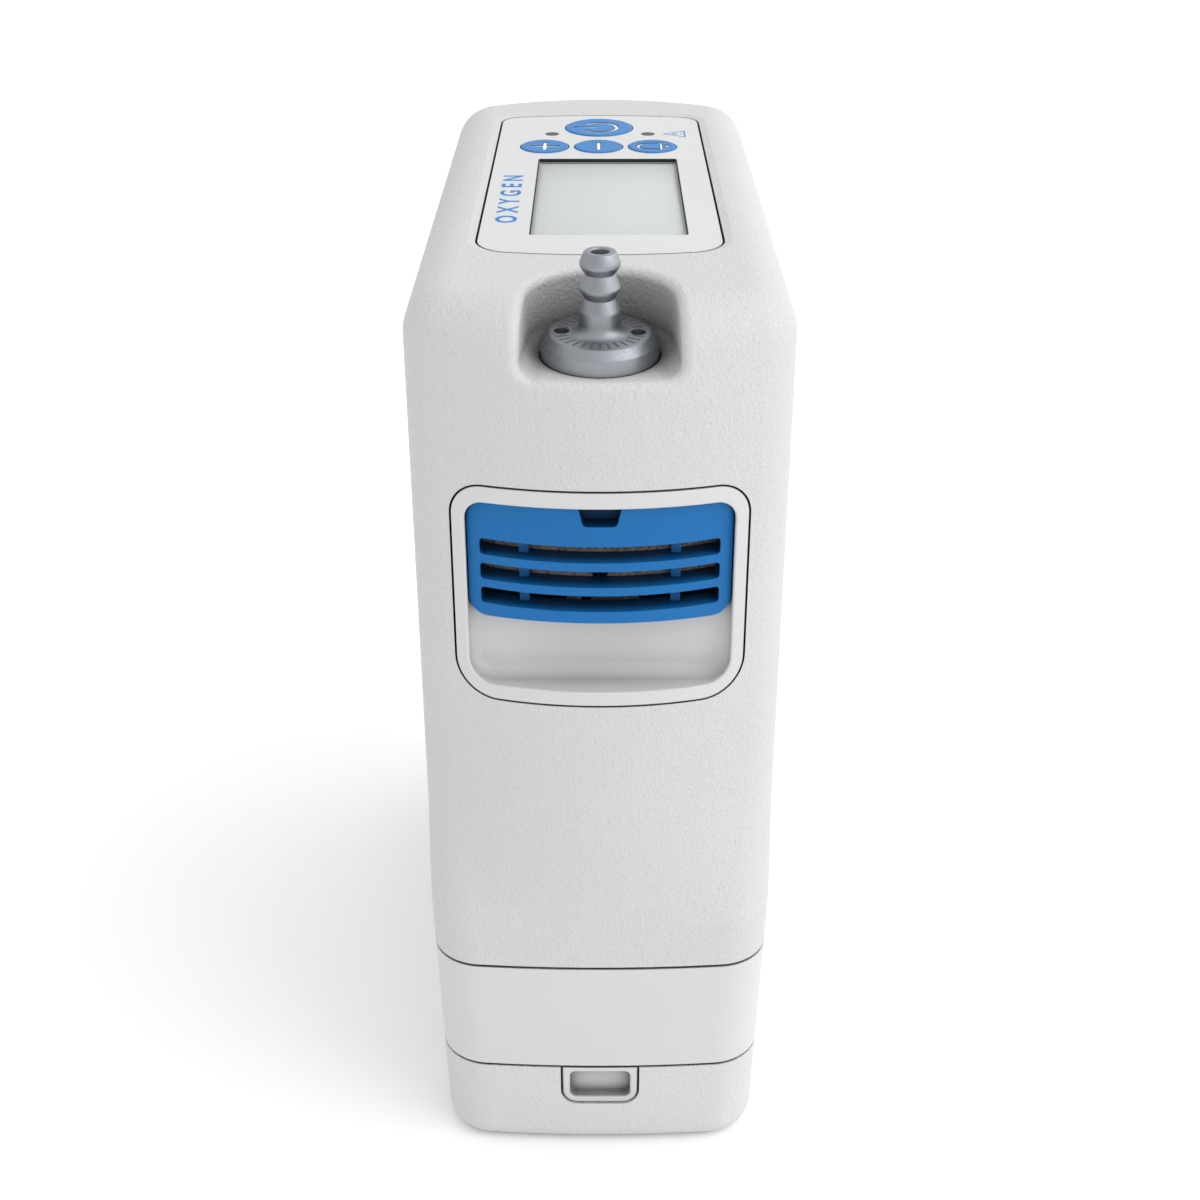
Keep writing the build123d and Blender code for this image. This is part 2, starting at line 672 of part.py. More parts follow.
with BuildPart() as port_block:
    add(base_envelope(0, CARTRIDGE_Z, CARTRIDGE_TOP))
    with BuildSketch(Plane.XY.offset(CARTRIDGE_Z)):
        with Locations((0, PORT_BLOCK_Y - LENGTH)):
            Rectangle(2 * WIDTH, 2 * LENGTH)
    extrude(amount=CARTRIDGE_TOP - CARTRIDGE_Z, mode=Mode.SUBTRACT)
    # neck up to the chassis, inside the housing's edge
    with BuildSketch(Plane.XY.offset(CARTRIDGE_TOP)):
        with Locations((0, PORT_BLOCK_Y + 5)):
            Rectangle(40, 9)
    extrude(amount=CHASSIS_Z - CARTRIDGE_TOP)
    # gas sockets for the two columns, and their risers
    with BuildSketch(front_at(PORT_BLOCK_Y)):
        with Locations((-COLUMN_X, COLUMN_Z), (COLUMN_X, COLUMN_Z)):
            Circle(3.55)
    extrude(amount=-6, mode=Mode.SUBTRACT)
    with BuildSketch(front_at(PORT_BLOCK_Y)):
        with Locations((-COLUMN_X, COLUMN_Z), (COLUMN_X, COLUMN_Z)):
            Circle(1.5)
    extrude(amount=-8, mode=Mode.SUBTRACT)
save(port_block.part, "port_block")


with BuildPart() as contact_pins:
    with BuildSketch(Plane.XY.offset(CARTRIDGE_Z)):
        with Locations((0, PIN_Y)):
            with GridLocations(4, 0, 5, 1):
                Circle(0.9)
    extrude(amount=-0.4)
save(contact_pins.part, "contact_pins")

# ---------------------------------------------------------------- sieve cartridge
# room inside the cartridge, less the walls of its upper rail slots
with BuildPart() as column_room:
    add(base_envelope(2, CARTRIDGE_Z + 1.6, CARTRIDGE_TOP - 1.6))
    add(tee_channel(TOP_RAIL_LOW, CARTRIDGE_TOP, 2 * LENGTH, 0), mode=Mode.SUBTRACT)

# rails under the cartridge that the battery hangs on
with BuildPart() as battery_rails:
    add(tee_rail(LOW_RAIL_LOW, CARTRIDGE_Z))
    with Locations((0, PORT_BLOCK_Y - 0.4, LOW_RAIL_LOW - 1)):
        Box(WIDTH, LENGTH, 30, align=(Align.CENTER, Align.MIN, Align.MIN), mode=Mode.SUBTRACT)

with BuildPart() as cartridge_shell:
    add(base_envelope(0, CARTRIDGE_Z, CARTRIDGE_TOP))
    add(column_room.part, mode=Mode.SUBTRACT)
    add(tee_slot(TOP_RAIL_LOW, CARTRIDGE_TOP), mode=Mode.SUBTRACT)
    with BuildSketch(Plane.XY.offset(CARTRIDGE_Z - 1)):
        with Locations((0, PORT_BLOCK_Y - 0.4 + LENGTH)):
            Rectangle(2 * WIDTH, 2 * LENGTH)
    extrude(amount=40, mode=Mode.SUBTRACT)
    add(battery_rails.part)
save(cartridge_shell.part, "cartridge_shell")

COLUMN_FRONT = -66.0
COLUMN_BACK = 44.0

with BuildPart() as sieve_columns:
    with BuildSketch(front_at(COLUMN_FRONT + 4)):
        with Locations((-COLUMN_X, COLUMN_Z), (COLUMN_X, COLUMN_Z)):
            Circle(COLUMN_R)
            Circle(COLUMN_R - 1.2, mode=Mode.SUBTRACT)
    extrude(amount=COLUMN_FRONT + 4 - COLUMN_BACK)
save(sieve_columns.part, "sieve_columns")

with BuildPart() as sieve_media:
    with BuildSketch(front_at(COLUMN_FRONT + 9)):
        with Locations((-COLUMN_X, COLUMN_Z), (COLUMN_X, COLUMN_Z)):
            Circle(COLUMN_R - 1.2)
    extrude(amount=COLUMN_FRONT + 13 - COLUMN_BACK)
save(sieve_media.part, "sieve_media")

with BuildPart() as column_caps:
    for side in (-COLUMN_X, COLUMN_X):
        with BuildSketch(front_at(COLUMN_FRONT)):
            with Locations((side, COLUMN_Z)):
                Circle(COLUMN_R + 0.2)
        extrude(amount=-4)
        with BuildSketch(front_at(COLUMN_FRONT + 4)):
            with Locations((side, COLUMN_Z)):
                Circle(COLUMN_R - 1.2)
        extrude(amount=-4)
        with BuildSketch(front_at(COLUMN_BACK - 3)):
            with Locations((side, COLUMN_Z)):
                Circle(COLUMN_R - 1.2)
        extrude(amount=-3)
        with BuildSketch(front_at(COLUMN_BACK)):
            with Locations((side, COLUMN_Z)):
                Circle(COLUMN_R + 0.2)
        extrude(amount=-6)
        with BuildSketch(front_at(COLUMN_BACK + 6)):
            with Locations((side, COLUMN_Z)):
                Circle(3.5)
        extrude(amount=COLUMN_BACK + 6 - PORT_BLOCK_Y - 5)
        with BuildSketch(front_at(COLUMN_BACK + 12)):
            with Locations((side, COLUMN_Z)):
                Circle(4)
                Circle(2.7, mode=Mode.SUBTRACT)
        extrude(amount=-1.4, mode=Mode.SUBTRACT)
save(column_caps.part, "column_caps")

with BuildPart() as port_orings:
    with BuildSketch(front_at(COLUMN_BACK + 12)):
        with Locations((-COLUMN_X, COLUMN_Z), (COLUMN_X, COLUMN_Z)):
            Circle(3.45)
            Circle(2.7, mode=Mode.SUBTRACT)
    extrude(amount=-1.4)
save(port_orings.part, "port_orings")

# ---------------------------------------------------------------- battery
LATCH_ROOM_Y = -HALF_L + 16


def latch_face(grow):
    """Outline of the latch, square at the seam and round below, grown by the given distance."""
    with BuildSketch(Plane.XY) as face:
        with Locations((0, LATCH_LOW - grow)):
            Rectangle(
                2 * (LATCH_HALF + grow),
                BATTERY_TOP - LATCH_LOW + 2 * grow,
                align=(Align.CENTER, Align.MIN),
            )
        fillet(face.vertices().group_by(Axis.Y)[0], radius=3 + grow)
    return face.sketch


with BuildPart() as battery_case:
    add(base_envelope(0, 0, BATTERY_TOP))
    fillet(battery_case.faces().sort_by(Axis.Z)[0].edges(), radius=FOOT_EDGE_R)
    add(base_envelope(1.8, 1.8, BATTERY_TOP + 1), mode=Mode.SUBTRACT)
    # the rail slots leave through the back wall
    add(tee_slot(LOW_RAIL_LOW, BATTERY_TOP), mode=Mode.SUBTRACT)
    # latch opening in the front wall
    with BuildSketch(FRONT):
        add(latch_face(LATCH_GAP))
    extrude(amount=-5, mode=Mode.SUBTRACT)
save(battery_case.part, "battery_case")

with BuildPart() as battery_lid:
    add(base_envelope(1.9, BATTERY_TOP - 1.6, BATTERY_TOP))
    add(tee_channel(LOW_RAIL_LOW, BATTERY_TOP, 122, 3))
    add(tee_slot(LOW_RAIL_LOW, BATTERY_TOP), mode=Mode.SUBTRACT)
    with Locations((0, -HALF_L, BATTERY_TOP - 3)):
        Box(20.4, 2 * (LATCH_ROOM_Y + HALF_L), 6, mode=Mode.SUBTRACT)
    with BuildSketch(Plane.XY.offset(BATTERY_TOP)):
        with Locations((0, PIN_Y)):
            with GridLocations(4, 0, 5, 1):
                Rectangle(2.6, 5)
    extrude(amount=-0.5, mode=Mode.SUBTRACT)
save(battery_lid.part, "battery_lid")

with BuildPart() as battery_contacts:
    with BuildSketch(Plane.XY.offset(BATTERY_TOP - 0.5)):
        with Locations((0, PIN_Y)):
            with GridLocations(4, 0, 5, 1):
                Rectangle(2.6, 5)
    extrude(amount=0.4)
save(battery_contacts.part, "battery_contacts")

with BuildPart() as battery_cells:
    with BuildSketch(Plane.XY.offset(1.8)):
        with Locations((0, -2)):
            with GridLocations(20, 54, 2, 2):
                RectangleRounded(19.4, 53, 2)
    extrude(amount=15.4)
save(battery_cells.part, "battery_cells")

with BuildPart() as battery_board:
    with BuildSketch(Plane.XY.offset(8)):
        with Locations((0, 62)):
            Rectangle(38, 16)
    extrude(amount=1.2)
    with BuildSketch(Plane.XY.offset(9.2)):
        with Locations((-9, 62), (0, 62), (9, 62)):
            Rectangle(5, 6)
    extrude(amount=1.6)
save(battery_board.part, "battery_board")

# pocket for a fingertip in the latch
with BuildPart() as finger_dent:
    with BuildSketch(FRONT.offset(2)):
        with Locations((0, 15.4)):
            RectangleRounded(12, 6.4, 1.2)
    extrude(amount=-5.2)
    fillet(finger_dent.faces().sort_by(Axis.Y)[-1].edges(), radius=1.2)

with BuildPart() as latch_button:
    add(base_envelope(0.05, LATCH_LOW, BATTERY_TOP))
    with BuildSketch(FRONT.offset(2)):
        add(latch_face(0))
    extrude(amount=-8, mode=Mode.INTERSECT)
    add(finger_dent.part, mode=Mode.SUBTRACT)
    fillet(
        [edge for edge in latch_button.edges(Select.LAST) if edge.center().Y < -HALF_L + 0.6],
        radius=0.4,
    )
    # ears behind the front wall, and the nib under the cartridge
    with BuildSketch(front_at(-HALF_L + 2.4)):
        with Locations((0, 14.6)):
            Rectangle(19, 7)
    extrude(amount=-3.6)
    with BuildSketch(Plane.XY.offset(BATTERY_TOP)):
        with Locations((0, -HALF_L + 4)):
            Rectangle(8, 2)
    extrude(amount=0.35)
save(latch_button.part, "latch_button")

with BuildPart() as latch_spring:
    coil = Helix(
        pitch=1.5,
        height=4.5,
        radius=1.8,
        center=(0, -HALF_L + 8.6, 14.6),
        direction=(0, 1, 0),
    )
    with BuildSketch(Plane(origin=coil @ 0, z_dir=coil % 0)):
        Circle(0.25)
    sweep(path=coil, is_frenet=True)
save(latch_spring.part, "latch_spring")

# ---------------------------------------------------------------- compressor
CASE_FRONT = -40.0
CASE_BACK = -12.0
MOTOR_BACK = 12.0


def round_bar(low, high, radius, bore=0.0, x=0.0, z=CRANK_Z):
    """Bar or tube along Y between two stations."""
    with BuildPart() as bar:
        with BuildSketch(front_at(low)):
            with Locations((x, z)):
                Circle(radius)
                if bore:
                    Circle(bore, mode=Mode.SUBTRACT)
        extrude(amount=low - high)
    return bar.part


with BuildPart() as crankcase:
    with BuildSketch(front_at(CASE_FRONT)):
        with Locations((0, CRANK_Z)):
            RectangleRounded(32, 34, 4)
    extrude(amount=CASE_FRONT - CASE_BACK)
    with BuildSketch(Plane(origin=(-27, 0, 0), x_dir=(0, 1, 0), z_dir=(1, 0, 0))):
        with Locations(((CASE_FRONT + CASE_BACK) / 2, CRANK_Z)):
            Circle(11.2)
    extrude(amount=54)
    # crank chamber, bearing seats and cylinder bores
    with BuildSketch(front_at(CASE_FRONT + 3)):
        with Locations((0, CRANK_Z)):
            Circle(13.4)
    extrude(amount=CASE_FRONT + 6 - CASE_BACK, mode=Mode.SUBTRACT)
    with BuildSketch(front_at(CASE_FRONT - 1)):
        with Locations((0, CRANK_Z)):
            Circle(5)
    extrude(amount=-40, mode=Mode.SUBTRACT)
    with BuildSketch(Plane(origin=(-30, 0, 0), x_dir=(0, 1, 0), z_dir=(1, 0, 0))):
        with Locations(((CASE_FRONT + CASE_BACK) / 2, CRANK_Z)):
            Circle(BORE_PISTON_R)
    extrude(amount=60, mode=Mode.SUBTRACT)
save(crankcase.part, "crankcase")

with BuildPart() as crank_bearings:
    for station in (CASE_FRONT, CASE_BACK - 3):
        add(round_bar(station, station + 3, 5, SHAFT_R + 0.04))
save(crank_bearings.part, "crank_bearings")

with BuildPart() as crankshaft:
    add(round_bar(CASE_FRONT - 2, -33.5, SHAFT_R))
    add(round_bar(-33.5, -32.3, 5.6))
    add(round_bar(-32.3, -19.7, PIN_R, z=CRANK_Z + CRANK_THROW))
    add(round_bar(-19.7, -18.5, 5.6))
    add(round_bar(-18.5, MOTOR_BACK + 1.5, SHAFT_R))
save(crankshaft.part, "crankshaft")

RING_BORE = PIN_R + 2 * CRANK_THROW + 0.4


def piston(name, side, low):
    """Wobble piston: disc, rod and the ring that the crank pin runs in."""
    with BuildPart() as rod:
        add(round_bar(low, low + 3.6, RING_BORE + 1.8, RING_BORE))
        with BuildSketch(Plane.YZ.offset(side * (RING_BORE + 0.9))):
            with Locations((low + 1.8, CRANK_Z)):
                Rectangle(3.6, 6)
        extrude(amount=side * 10.4)
        with BuildSketch(Plane.YZ.offset(side * 18.6)):
            with Locations(((CASE_FRONT + CASE_BACK) / 2, CRANK_Z)):
                Circle(BORE_PISTON_R - PISTON_FIT)
        extrude(amount=side * 4.4)
    save(rod.part, name)


piston("piston_left", -1, -31.6)
piston("piston_right", 1, -24.0)

with BuildPart() as cylinder_heads:
    for side in (-1, 1):
        with BuildSketch(Plane.YZ.offset(side * 27)):
            with Locations(((CASE_FRONT + CASE_BACK) / 2, CRANK_Z)):
                Circle(11.2)
        extrude(amount=side * 2.2)
        with BuildSketch(Plane.YZ.offset(side * 29.2)):
            with Locations(((CASE_FRONT + CASE_BACK) / 2, CRANK_Z)):
                with GridLocations(3.2, 0, 5, 1):
                    Rectangle(1.2, 14)
        extrude(amount=side * 1.6)
save(cylinder_heads.part, "cylinder_heads")

with BuildPart() as motor_can:
    add(round_bar(CASE_BACK, MOTOR_BACK, 20.5, 19.0))
    add(round_bar(MOTOR_BACK - 1.5, MOTOR_BACK, 20.5, SHAFT_R + 1))
save(motor_can.part, "motor_can")

with BuildPart() as motor_stator:
    add(round_bar(-8, 6, 19.0, 17.2))
    with BuildSketch(front_at(-8)):
        with Locations((0, CRANK_Z)):
            with PolarLocations(15.4, 9):
                Rectangle(4.2, 3)
    extrude(amount=-14)
    with BuildSketch(front_at(-8)):
        with Locations((0, CRANK_Z)):
            with PolarLocations(13.4, 9):
                Rectangle(1.6, 7)
    extrude(amount=-14)
save(motor_stator.part, "motor_stator")

with BuildPart() as motor_rotor:
    add(round_bar(-8, 6, 11.2, SHAFT_R))
save(motor_rotor.part, "motor_rotor")

BRACKET_Z = 60.0

with BuildPart() as compressor_bracket:
    with BuildSketch(Plane.XY.offset(BRACKET_Z)):
        with Locations((0, -14)):
            RectangleRounded(52, 60, 4)
    extrude(amount=2)
    with BuildSketch(Plane.XY.offset(BRACKET_Z + 2)):
        with Locations((0, (CASE_FRONT + CASE_BACK) / 2)):
            Rectangle(28, 20)
    extrude(amount=CRANK_Z - 17 - BRACKET_Z - 2)
save(compressor_bracket.part, "compressor_bracket")

with BuildPart() as rubber_mounts:
    with BuildSketch(Plane.XY.offset(CHASSIS_TOP)):
        with Locations((0, -14)):
            with GridLocations(42, 48, 2, 2):
                Circle(4)
    extrude(amount=BRACKET_Z - CHASSIS_TOP)
save(rubber_mounts.part, "rubber_mounts")

# ---------------------------------------------------------------- fan and cooler
with BuildPart() as fan_frame:
    with BuildSketch(front_at(-60)):
        with Locations((0, FAN_Z)):
            RectangleRounded(36, 36, 3)
            Circle(16.6, mode=Mode.SUBTRACT)
            with GridLocations(30, 30, 2, 2):
                Circle(1.5, mode=Mode.SUBTRACT)
    extrude(amount=-10)
    with BuildSketch(front_at(-52)):
        with Locations((0, FAN_Z)):
            Circle(8)
            with PolarLocations(12, 3):
                Rectangle(10, 2.4)
    extrude(amount=-2)
    add(round_bar(-56, -52, SHAFT_R, z=FAN_Z))
save(fan_frame.part, "fan_frame")

with BuildPart() as fan_rotor:
    add(round_bar(-59.4, -58, 8.0, z=FAN_Z))
    add(round_bar(-58, -52.4, 8.0, 7.0, z=FAN_Z))
    add(round_bar(-58, -52.6, 4.0, SHAFT_R + 0.05, z=FAN_Z))
    with BuildSketch(front_at(-59)):
        with Locations((0, FAN_Z)):
            with PolarLocations(11.9, 7):
                SlotCenterToCenter(7.6, 1.2)
    extrude(amount=-6)
save(fan_rotor.part, "fan_rotor")

with BuildPart() as cooling_coil:
    with BuildLine(front_at(-44)) as coil_path:
        rows = []
        for row in range(4):
            side = 1 if row % 2 else -1
            rows += [(side * 24, 112 + 8 * row), (-side * 24, 112 + 8 * row)]
        FilletPolyline(*rows, radius=3.9)
    with BuildSketch(Plane(origin=coil_path.line @ 0, z_dir=coil_path.line % 0)):
        Circle(2)
    sweep()
save(cooling_coil.part, "cooling_coil")

# ---------------------------------------------------------------- gas handling
with BuildPart() as valve_manifold:
    with BuildSketch(Plane.XY.offset(CHASSIS_TOP)):
        with Locations((-1, 40)):
            RectangleRounded(40, 44, 3)
    extrude(amount=11)
save(valve_manifold.part, "valve_manifold")
MANIFOLD_TOP = CHASSIS_TOP + 11

with BuildPart() as solenoid_valves:
    with BuildSketch(Plane.XY.offset(MANIFOLD_TOP)):
        with Locations((-1, 55)):
            with GridLocations(10, 0, 4, 1):
                Rectangle(9, 9)
    extrude(amount=4)
    with BuildSketch(Plane.XY.offset(MANIFOLD_TOP + 4)):
        with Locations((-1, 55)):
            with GridLocations(10, 0, 4, 1):
                Circle(4.4)
    extrude(amount=16)
save(solenoid_valves.part, "solenoid_valves")

with BuildPart() as product_tank:
    with BuildSketch(Plane.XY.offset(MANIFOLD_TOP)):
        with Locations((-12, 34)):
            Circle(12)
    extrude(amount=52)
    fillet(product_tank.faces().sort_by(Axis.Z)[-1].edges(), radius=4)
    with BuildSketch(Plane.XY.offset(MANIFOLD_TOP + 52)):
        with Locations((-12, 34)):
            Circle(2)
    extrude(amount=4)
save(product_tank.part, "product_tank")

with BuildPart() as muffler:
    with BuildSketch(Plane.XY.offset(MANIFOLD_TOP)):
        with Locations((10, 34)):
            Circle(9)
    extrude(amount=40)
    fillet(muffler.faces().sort_by(Axis.Z)[-1].edges(), radius=2.5)
    with BuildSketch(Plane(origin=(10, 42, MANIFOLD_TOP + 30), z_dir=(0, 1, 0))):
        Circle(2.6)
    extrude(amount=10)
save(muffler.part, "muffler")

with BuildPart() as conserver_valve:
    with Locations((0, -34, 142)):
        Box(20, 14, 12)
    with Locations((0, -24, 142)):
        Cylinder(4.6, 8, rotation=(90, 0, 0))
    with Locations((0, -44, 142)):
        Cylinder(2, 7, rotation=(90, 0, 0))
save(conserver_valve.part, "conserver_valve")

with BuildPart() as oxygen_sensor:
    with Locations((-12, 4, 128)):
        Box(18, 26, 12)
    with Locations((-12, -11, 128)):
        Cylinder(2, 5, rotation=(90, 0, 0))
    with Locations((-12, 19, 128)):
        Cylinder(2, 5, rotation=(90, 0, 0))
save(oxygen_sensor.part, "oxygen_sensor")

# ---------------------------------------------------------------- electronics
BOARD_X = 27.6

with BuildPart() as main_board:
    with BuildSketch(Plane.YZ.offset(BOARD_X)):
        with Locations((36, 112)):
            RectangleRounded(52, 100, 2)
            with GridLocations(44, 92, 2, 2):
                Circle(1.5, mode=Mode.SUBTRACT)
    extrude(amount=1.6)
save(main_board.part, "main_board")

with BuildPart() as board_components:
    with BuildSketch(Plane.YZ.offset(BOARD_X)):
        with Locations((24, 90), (24, 110), (40, 132)):
            Rectangle(12, 12)
        with Locations((44, 90)):
            Rectangle(8, 20)
    extrude(amount=-2)
    with BuildSketch(Plane.YZ.offset(BOARD_X)):
        with Locations((22, 140), (22, 150), (32, 150)):
            Circle(4)
    extrude(amount=-9)
    with BuildSketch(Plane.YZ.offset(BOARD_X)):
        with Locations((52, 120), (52, 134)):
            Rectangle(8, 10)
    extrude(amount=-6)
save(board_components.part, "board_components")

with BuildPart() as power_jack:
    with BuildSketch(BACK.offset(-0.3)):
        with Locations((0, 60)):
            Circle(5.9)
    extrude(amount=-10)
    with BuildSketch(BACK.offset(-3.4)):
        with Locations((0, 60)):
            Circle(7.2)
    extrude(amount=-2)
    # socket and its centre pin
    with BuildSketch(BACK):
        with Locations((0, 60)):
            Circle(3.2)
            Circle(0.9, mode=Mode.SUBTRACT)
    extrude(amount=-8, mode=Mode.SUBTRACT)
save(power_jack.part, "power_jack")


def hose(points, radius, bend):
    """Round tube along straight runs and tangent bends."""
    with BuildPart() as tube:
        with BuildLine() as route:
            FilletPolyline(*points, radius=bend)
        with BuildSketch(Plane(origin=route.line @ 0, z_dir=route.line % 0)):
            Circle(radius)
        sweep(path=route.line)
    return tube.part


with BuildPart() as air_tubes:
    # tank to oxygen sensor, sensor to conserver valve, valve to output filter
    add(hose([(-12, 34, MANIFOLD_TOP + 56), (-12, 34, 128), (-12, 21.5, 128)], 2, 4))
    add(hose([(-12, -13.5, 128), (-12, -17, 128), (0, -17, 142), (0, -20, 142)], 2, 2))
save(air_tubes.part, "air_tubes")
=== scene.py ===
"""Studio picture and finish of the portable oxygen concentrator, round its CAD frame. Metres."""

import json
import math

import bmesh
import bpy
import numpy as np
from mathutils import Matrix, Vector


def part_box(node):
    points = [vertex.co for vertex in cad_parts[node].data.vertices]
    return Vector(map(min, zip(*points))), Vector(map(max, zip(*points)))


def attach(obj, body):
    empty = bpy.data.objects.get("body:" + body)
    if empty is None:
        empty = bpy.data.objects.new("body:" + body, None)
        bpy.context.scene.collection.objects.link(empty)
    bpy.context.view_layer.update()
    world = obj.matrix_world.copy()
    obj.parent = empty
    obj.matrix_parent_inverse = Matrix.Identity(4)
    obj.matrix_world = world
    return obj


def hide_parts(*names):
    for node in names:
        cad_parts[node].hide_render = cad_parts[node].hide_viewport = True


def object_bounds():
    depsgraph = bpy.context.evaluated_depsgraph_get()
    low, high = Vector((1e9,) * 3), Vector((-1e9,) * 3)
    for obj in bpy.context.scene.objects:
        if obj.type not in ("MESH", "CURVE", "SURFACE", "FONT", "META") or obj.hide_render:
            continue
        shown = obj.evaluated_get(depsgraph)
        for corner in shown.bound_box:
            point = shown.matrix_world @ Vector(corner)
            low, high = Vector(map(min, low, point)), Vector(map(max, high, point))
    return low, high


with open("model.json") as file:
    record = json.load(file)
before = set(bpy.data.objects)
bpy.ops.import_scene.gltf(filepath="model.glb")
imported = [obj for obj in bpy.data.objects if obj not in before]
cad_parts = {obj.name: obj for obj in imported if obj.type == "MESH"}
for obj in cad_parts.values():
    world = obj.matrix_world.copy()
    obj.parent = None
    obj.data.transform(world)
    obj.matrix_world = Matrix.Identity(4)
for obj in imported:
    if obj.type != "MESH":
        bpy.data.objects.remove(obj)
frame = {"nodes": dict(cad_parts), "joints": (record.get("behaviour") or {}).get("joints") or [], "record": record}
cad_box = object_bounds()

MM = 0.001
scene = bpy.context.scene
nodes = frame["nodes"]
mounts = {mount["name"]: mount for mount in frame["record"]["mounts"]}
joints = {joint["name"]: joint for joint in frame["joints"]}

# the sloping top: its normal is against the way the keys are pressed
UP = -Vector(joints["power_press"]["axis"]).normalized()
ACROSS = Vector((1, 0, 0))
BACKWARD = UP.cross(ACROSS)


# ---------------------------------------------------------------- materials
HOLLOW_REACH = 20 * MM  # how far a point looks for walls that shade it, for the painted shade
# share of open sky over which the painted shade fades from full to none
HOLLOW_SPAN = (0.08, 0.62)


def start_material(name, colour, rough, metallic=0.0, coat=0.0, specular=0.5):
    """New node material with object coordinates; returns its tree, shader and coordinate socket."""
    material = bpy.data.materials.new(name)
    material.use_nodes = True
    material.diffuse_color = (*colour, 1)
    tree = material.node_tree
    shader = tree.nodes["Principled BSDF"]
    shader.inputs["Base Color"].default_value = (*colour, 1)
    shader.inputs["Roughness"].default_value = rough
    shader.inputs["Metallic"].default_value = metallic
    shader.inputs["Coat Weight"].default_value = coat
    shader.inputs["Coat Roughness"].default_value = 0.12
    shader.inputs["Specular IOR Level"].default_value = specular
    place = tree.nodes.new("ShaderNodeTexCoord").outputs["Object"]
    return material, tree, shader, place


def noise(tree, place, scale, detail=3.0, rough=0.55, twist=0.0, stretch=None):
    """Noise texture's value; stretch scales each axis."""
    node = tree.nodes.new("ShaderNodeTexNoise")
    node.inputs["Scale"].default_value = scale
    node.inputs["Detail"].default_value = detail
    node.inputs["Roughness"].default_value = rough
    node.inputs["Distortion"].default_value = twist
    if stretch:
        mapping = tree.nodes.new("ShaderNodeMapping")
        mapping.inputs["Scale"].default_value = stretch
        tree.links.new(place, mapping.inputs["Vector"])
        place = mapping.outputs["Vector"]
    tree.links.new(place, node.inputs["Vector"])
    return node.outputs["Fac"]


def cells(tree, place, scale, smooth=0.0, randomness=1.0):
    """Voronoi texture's distance."""
    node = tree.nodes.new("ShaderNodeTexVoronoi")
    node.feature = "SMOOTH_F1" if smooth else "F1"
    if smooth:
        node.inputs["Smoothness"].default_value = smooth
    node.inputs["Scale"].default_value = scale
    node.inputs["Randomness"].default_value = randomness
    tree.links.new(place, node.inputs["Vector"])
    return node.outputs["Distance"]


def remap(tree, value, low, high, from_low=0.3, from_high=0.7):
    """Value moved from one span to another."""
    node = tree.nodes.new("ShaderNodeMapRange")
    node.inputs["From Min"].default_value = from_low
    node.inputs["From Max"].default_value = from_high
    node.inputs["To Min"].default_value = low
    node.inputs["To Max"].default_value = high
    tree.links.new(value, node.inputs["Value"])
    return node.outputs["Result"]


def blend_colours(tree, factor, first, second):
    """Mix of two colours by a factor; second may be another node's output."""
    node = tree.nodes.new("ShaderNodeMix")
    node.data_type = "RGBA"
    node.inputs["A"].default_value = (*first, 1)
    if isinstance(second, tuple):
        node.inputs["B"].default_value = (*second, 1)
    else:
        tree.links.new(second, node.inputs["B"])
    tree.links.new(factor, node.inputs["Factor"])
    return node.outputs["Result"]


def scaled(colour, gain):
    """Colour times a number."""
    return tuple(channel * gain for channel in colour)


def combine(tree, operation, first, second):
    """Maths on two values; second may be a number."""
    node = tree.nodes.new("ShaderNodeMath")
    node.operation = operation
    tree.links.new(first, node.inputs[0])
    if isinstance(second, (int, float)):
        node.inputs[1].default_value = second
    else:
        tree.links.new(second, node.inputs[1])
    return node.outputs["Value"]


def bump(tree, shader, height, distance, strength=1.0):
    """Adds a bump to the shader, after any bump already there."""
    node = tree.nodes.new("ShaderNodeBump")
    node.inputs["Distance"].default_value = distance
    node.inputs["Strength"].default_value = strength
    tree.links.new(height, node.inputs["Height"])
    before = shader.inputs["Normal"].links
    if before:
        tree.links.new(before[0].from_socket, node.inputs["Normal"])
    tree.links.new(node.outputs["Normal"], shader.inputs["Normal"])


def vary_tone_and_paint_shade(tree, shader, place, colour, amount, scale=35.0, shade=0.0, span=HOLLOW_SPAN, alone=False):
    """Slow, faint change of the base colour, and painted shade in gaps and hollows when shade is set.

    Shade is painted shade: an ambient-occlusion mask darkens the colour in gaps and hollows, fully below the
    span's low share of open sky and not at all above its high share. With alone, only the piece itself counts as
    closing a hollow.
    """
    light = tuple(min(1.0, channel * (1 + amount)) for channel in colour)
    factor = remap(tree, noise(tree, place, scale, 4), 0, 1)
    result = blend_colours(tree, factor, scaled(colour, 1 - amount), light)
    # painted shade: the colour darkens where the ambient-occlusion mask finds walls close by
    if shade:
        hollow = tree.nodes.new("ShaderNodeAmbientOcclusion")
        hollow.samples = 8
        hollow.only_local = alone
        hollow.inputs["Distance"].default_value = HOLLOW_REACH
        open_share = remap(tree, hollow.outputs["AO"], 0, 1, *span)
        result = blend_colours(tree, open_share, scaled(colour, 1 - shade), result)
    tree.links.new(result, shader.inputs["Base Color"])


def grained_plastic(name, colour, rough=0.55, depth=0.0003, alone=False):
    """Moulded plastic with a fine leather-like grain of about half a millimetre, and painted shade in its hollows.
    """
    material, tree, shader, place = start_material(name, colour, rough, specular=0.35)
    # painted shade in gaps and hollows, strong and over a wide span
    vary_tone_and_paint_shade(tree, shader, place, colour, 0.012, shade=0.8, span=(0.12, 0.72), alone=alone)
    pebbles = cells(tree, place, 1800, smooth=0.5)
    wrinkles = noise(tree, place, 1400, 2, 0.5, 0.8)
    height = combine(tree, "ADD", combine(tree, "MULTIPLY", pebbles, 0.55), wrinkles)
    bump(tree, shader, height, depth, 0.7)
    tree.links.new(remap(tree, wrinkles, rough - 0.06, rough + 0.08), shader.inputs["Roughness"])
    return material


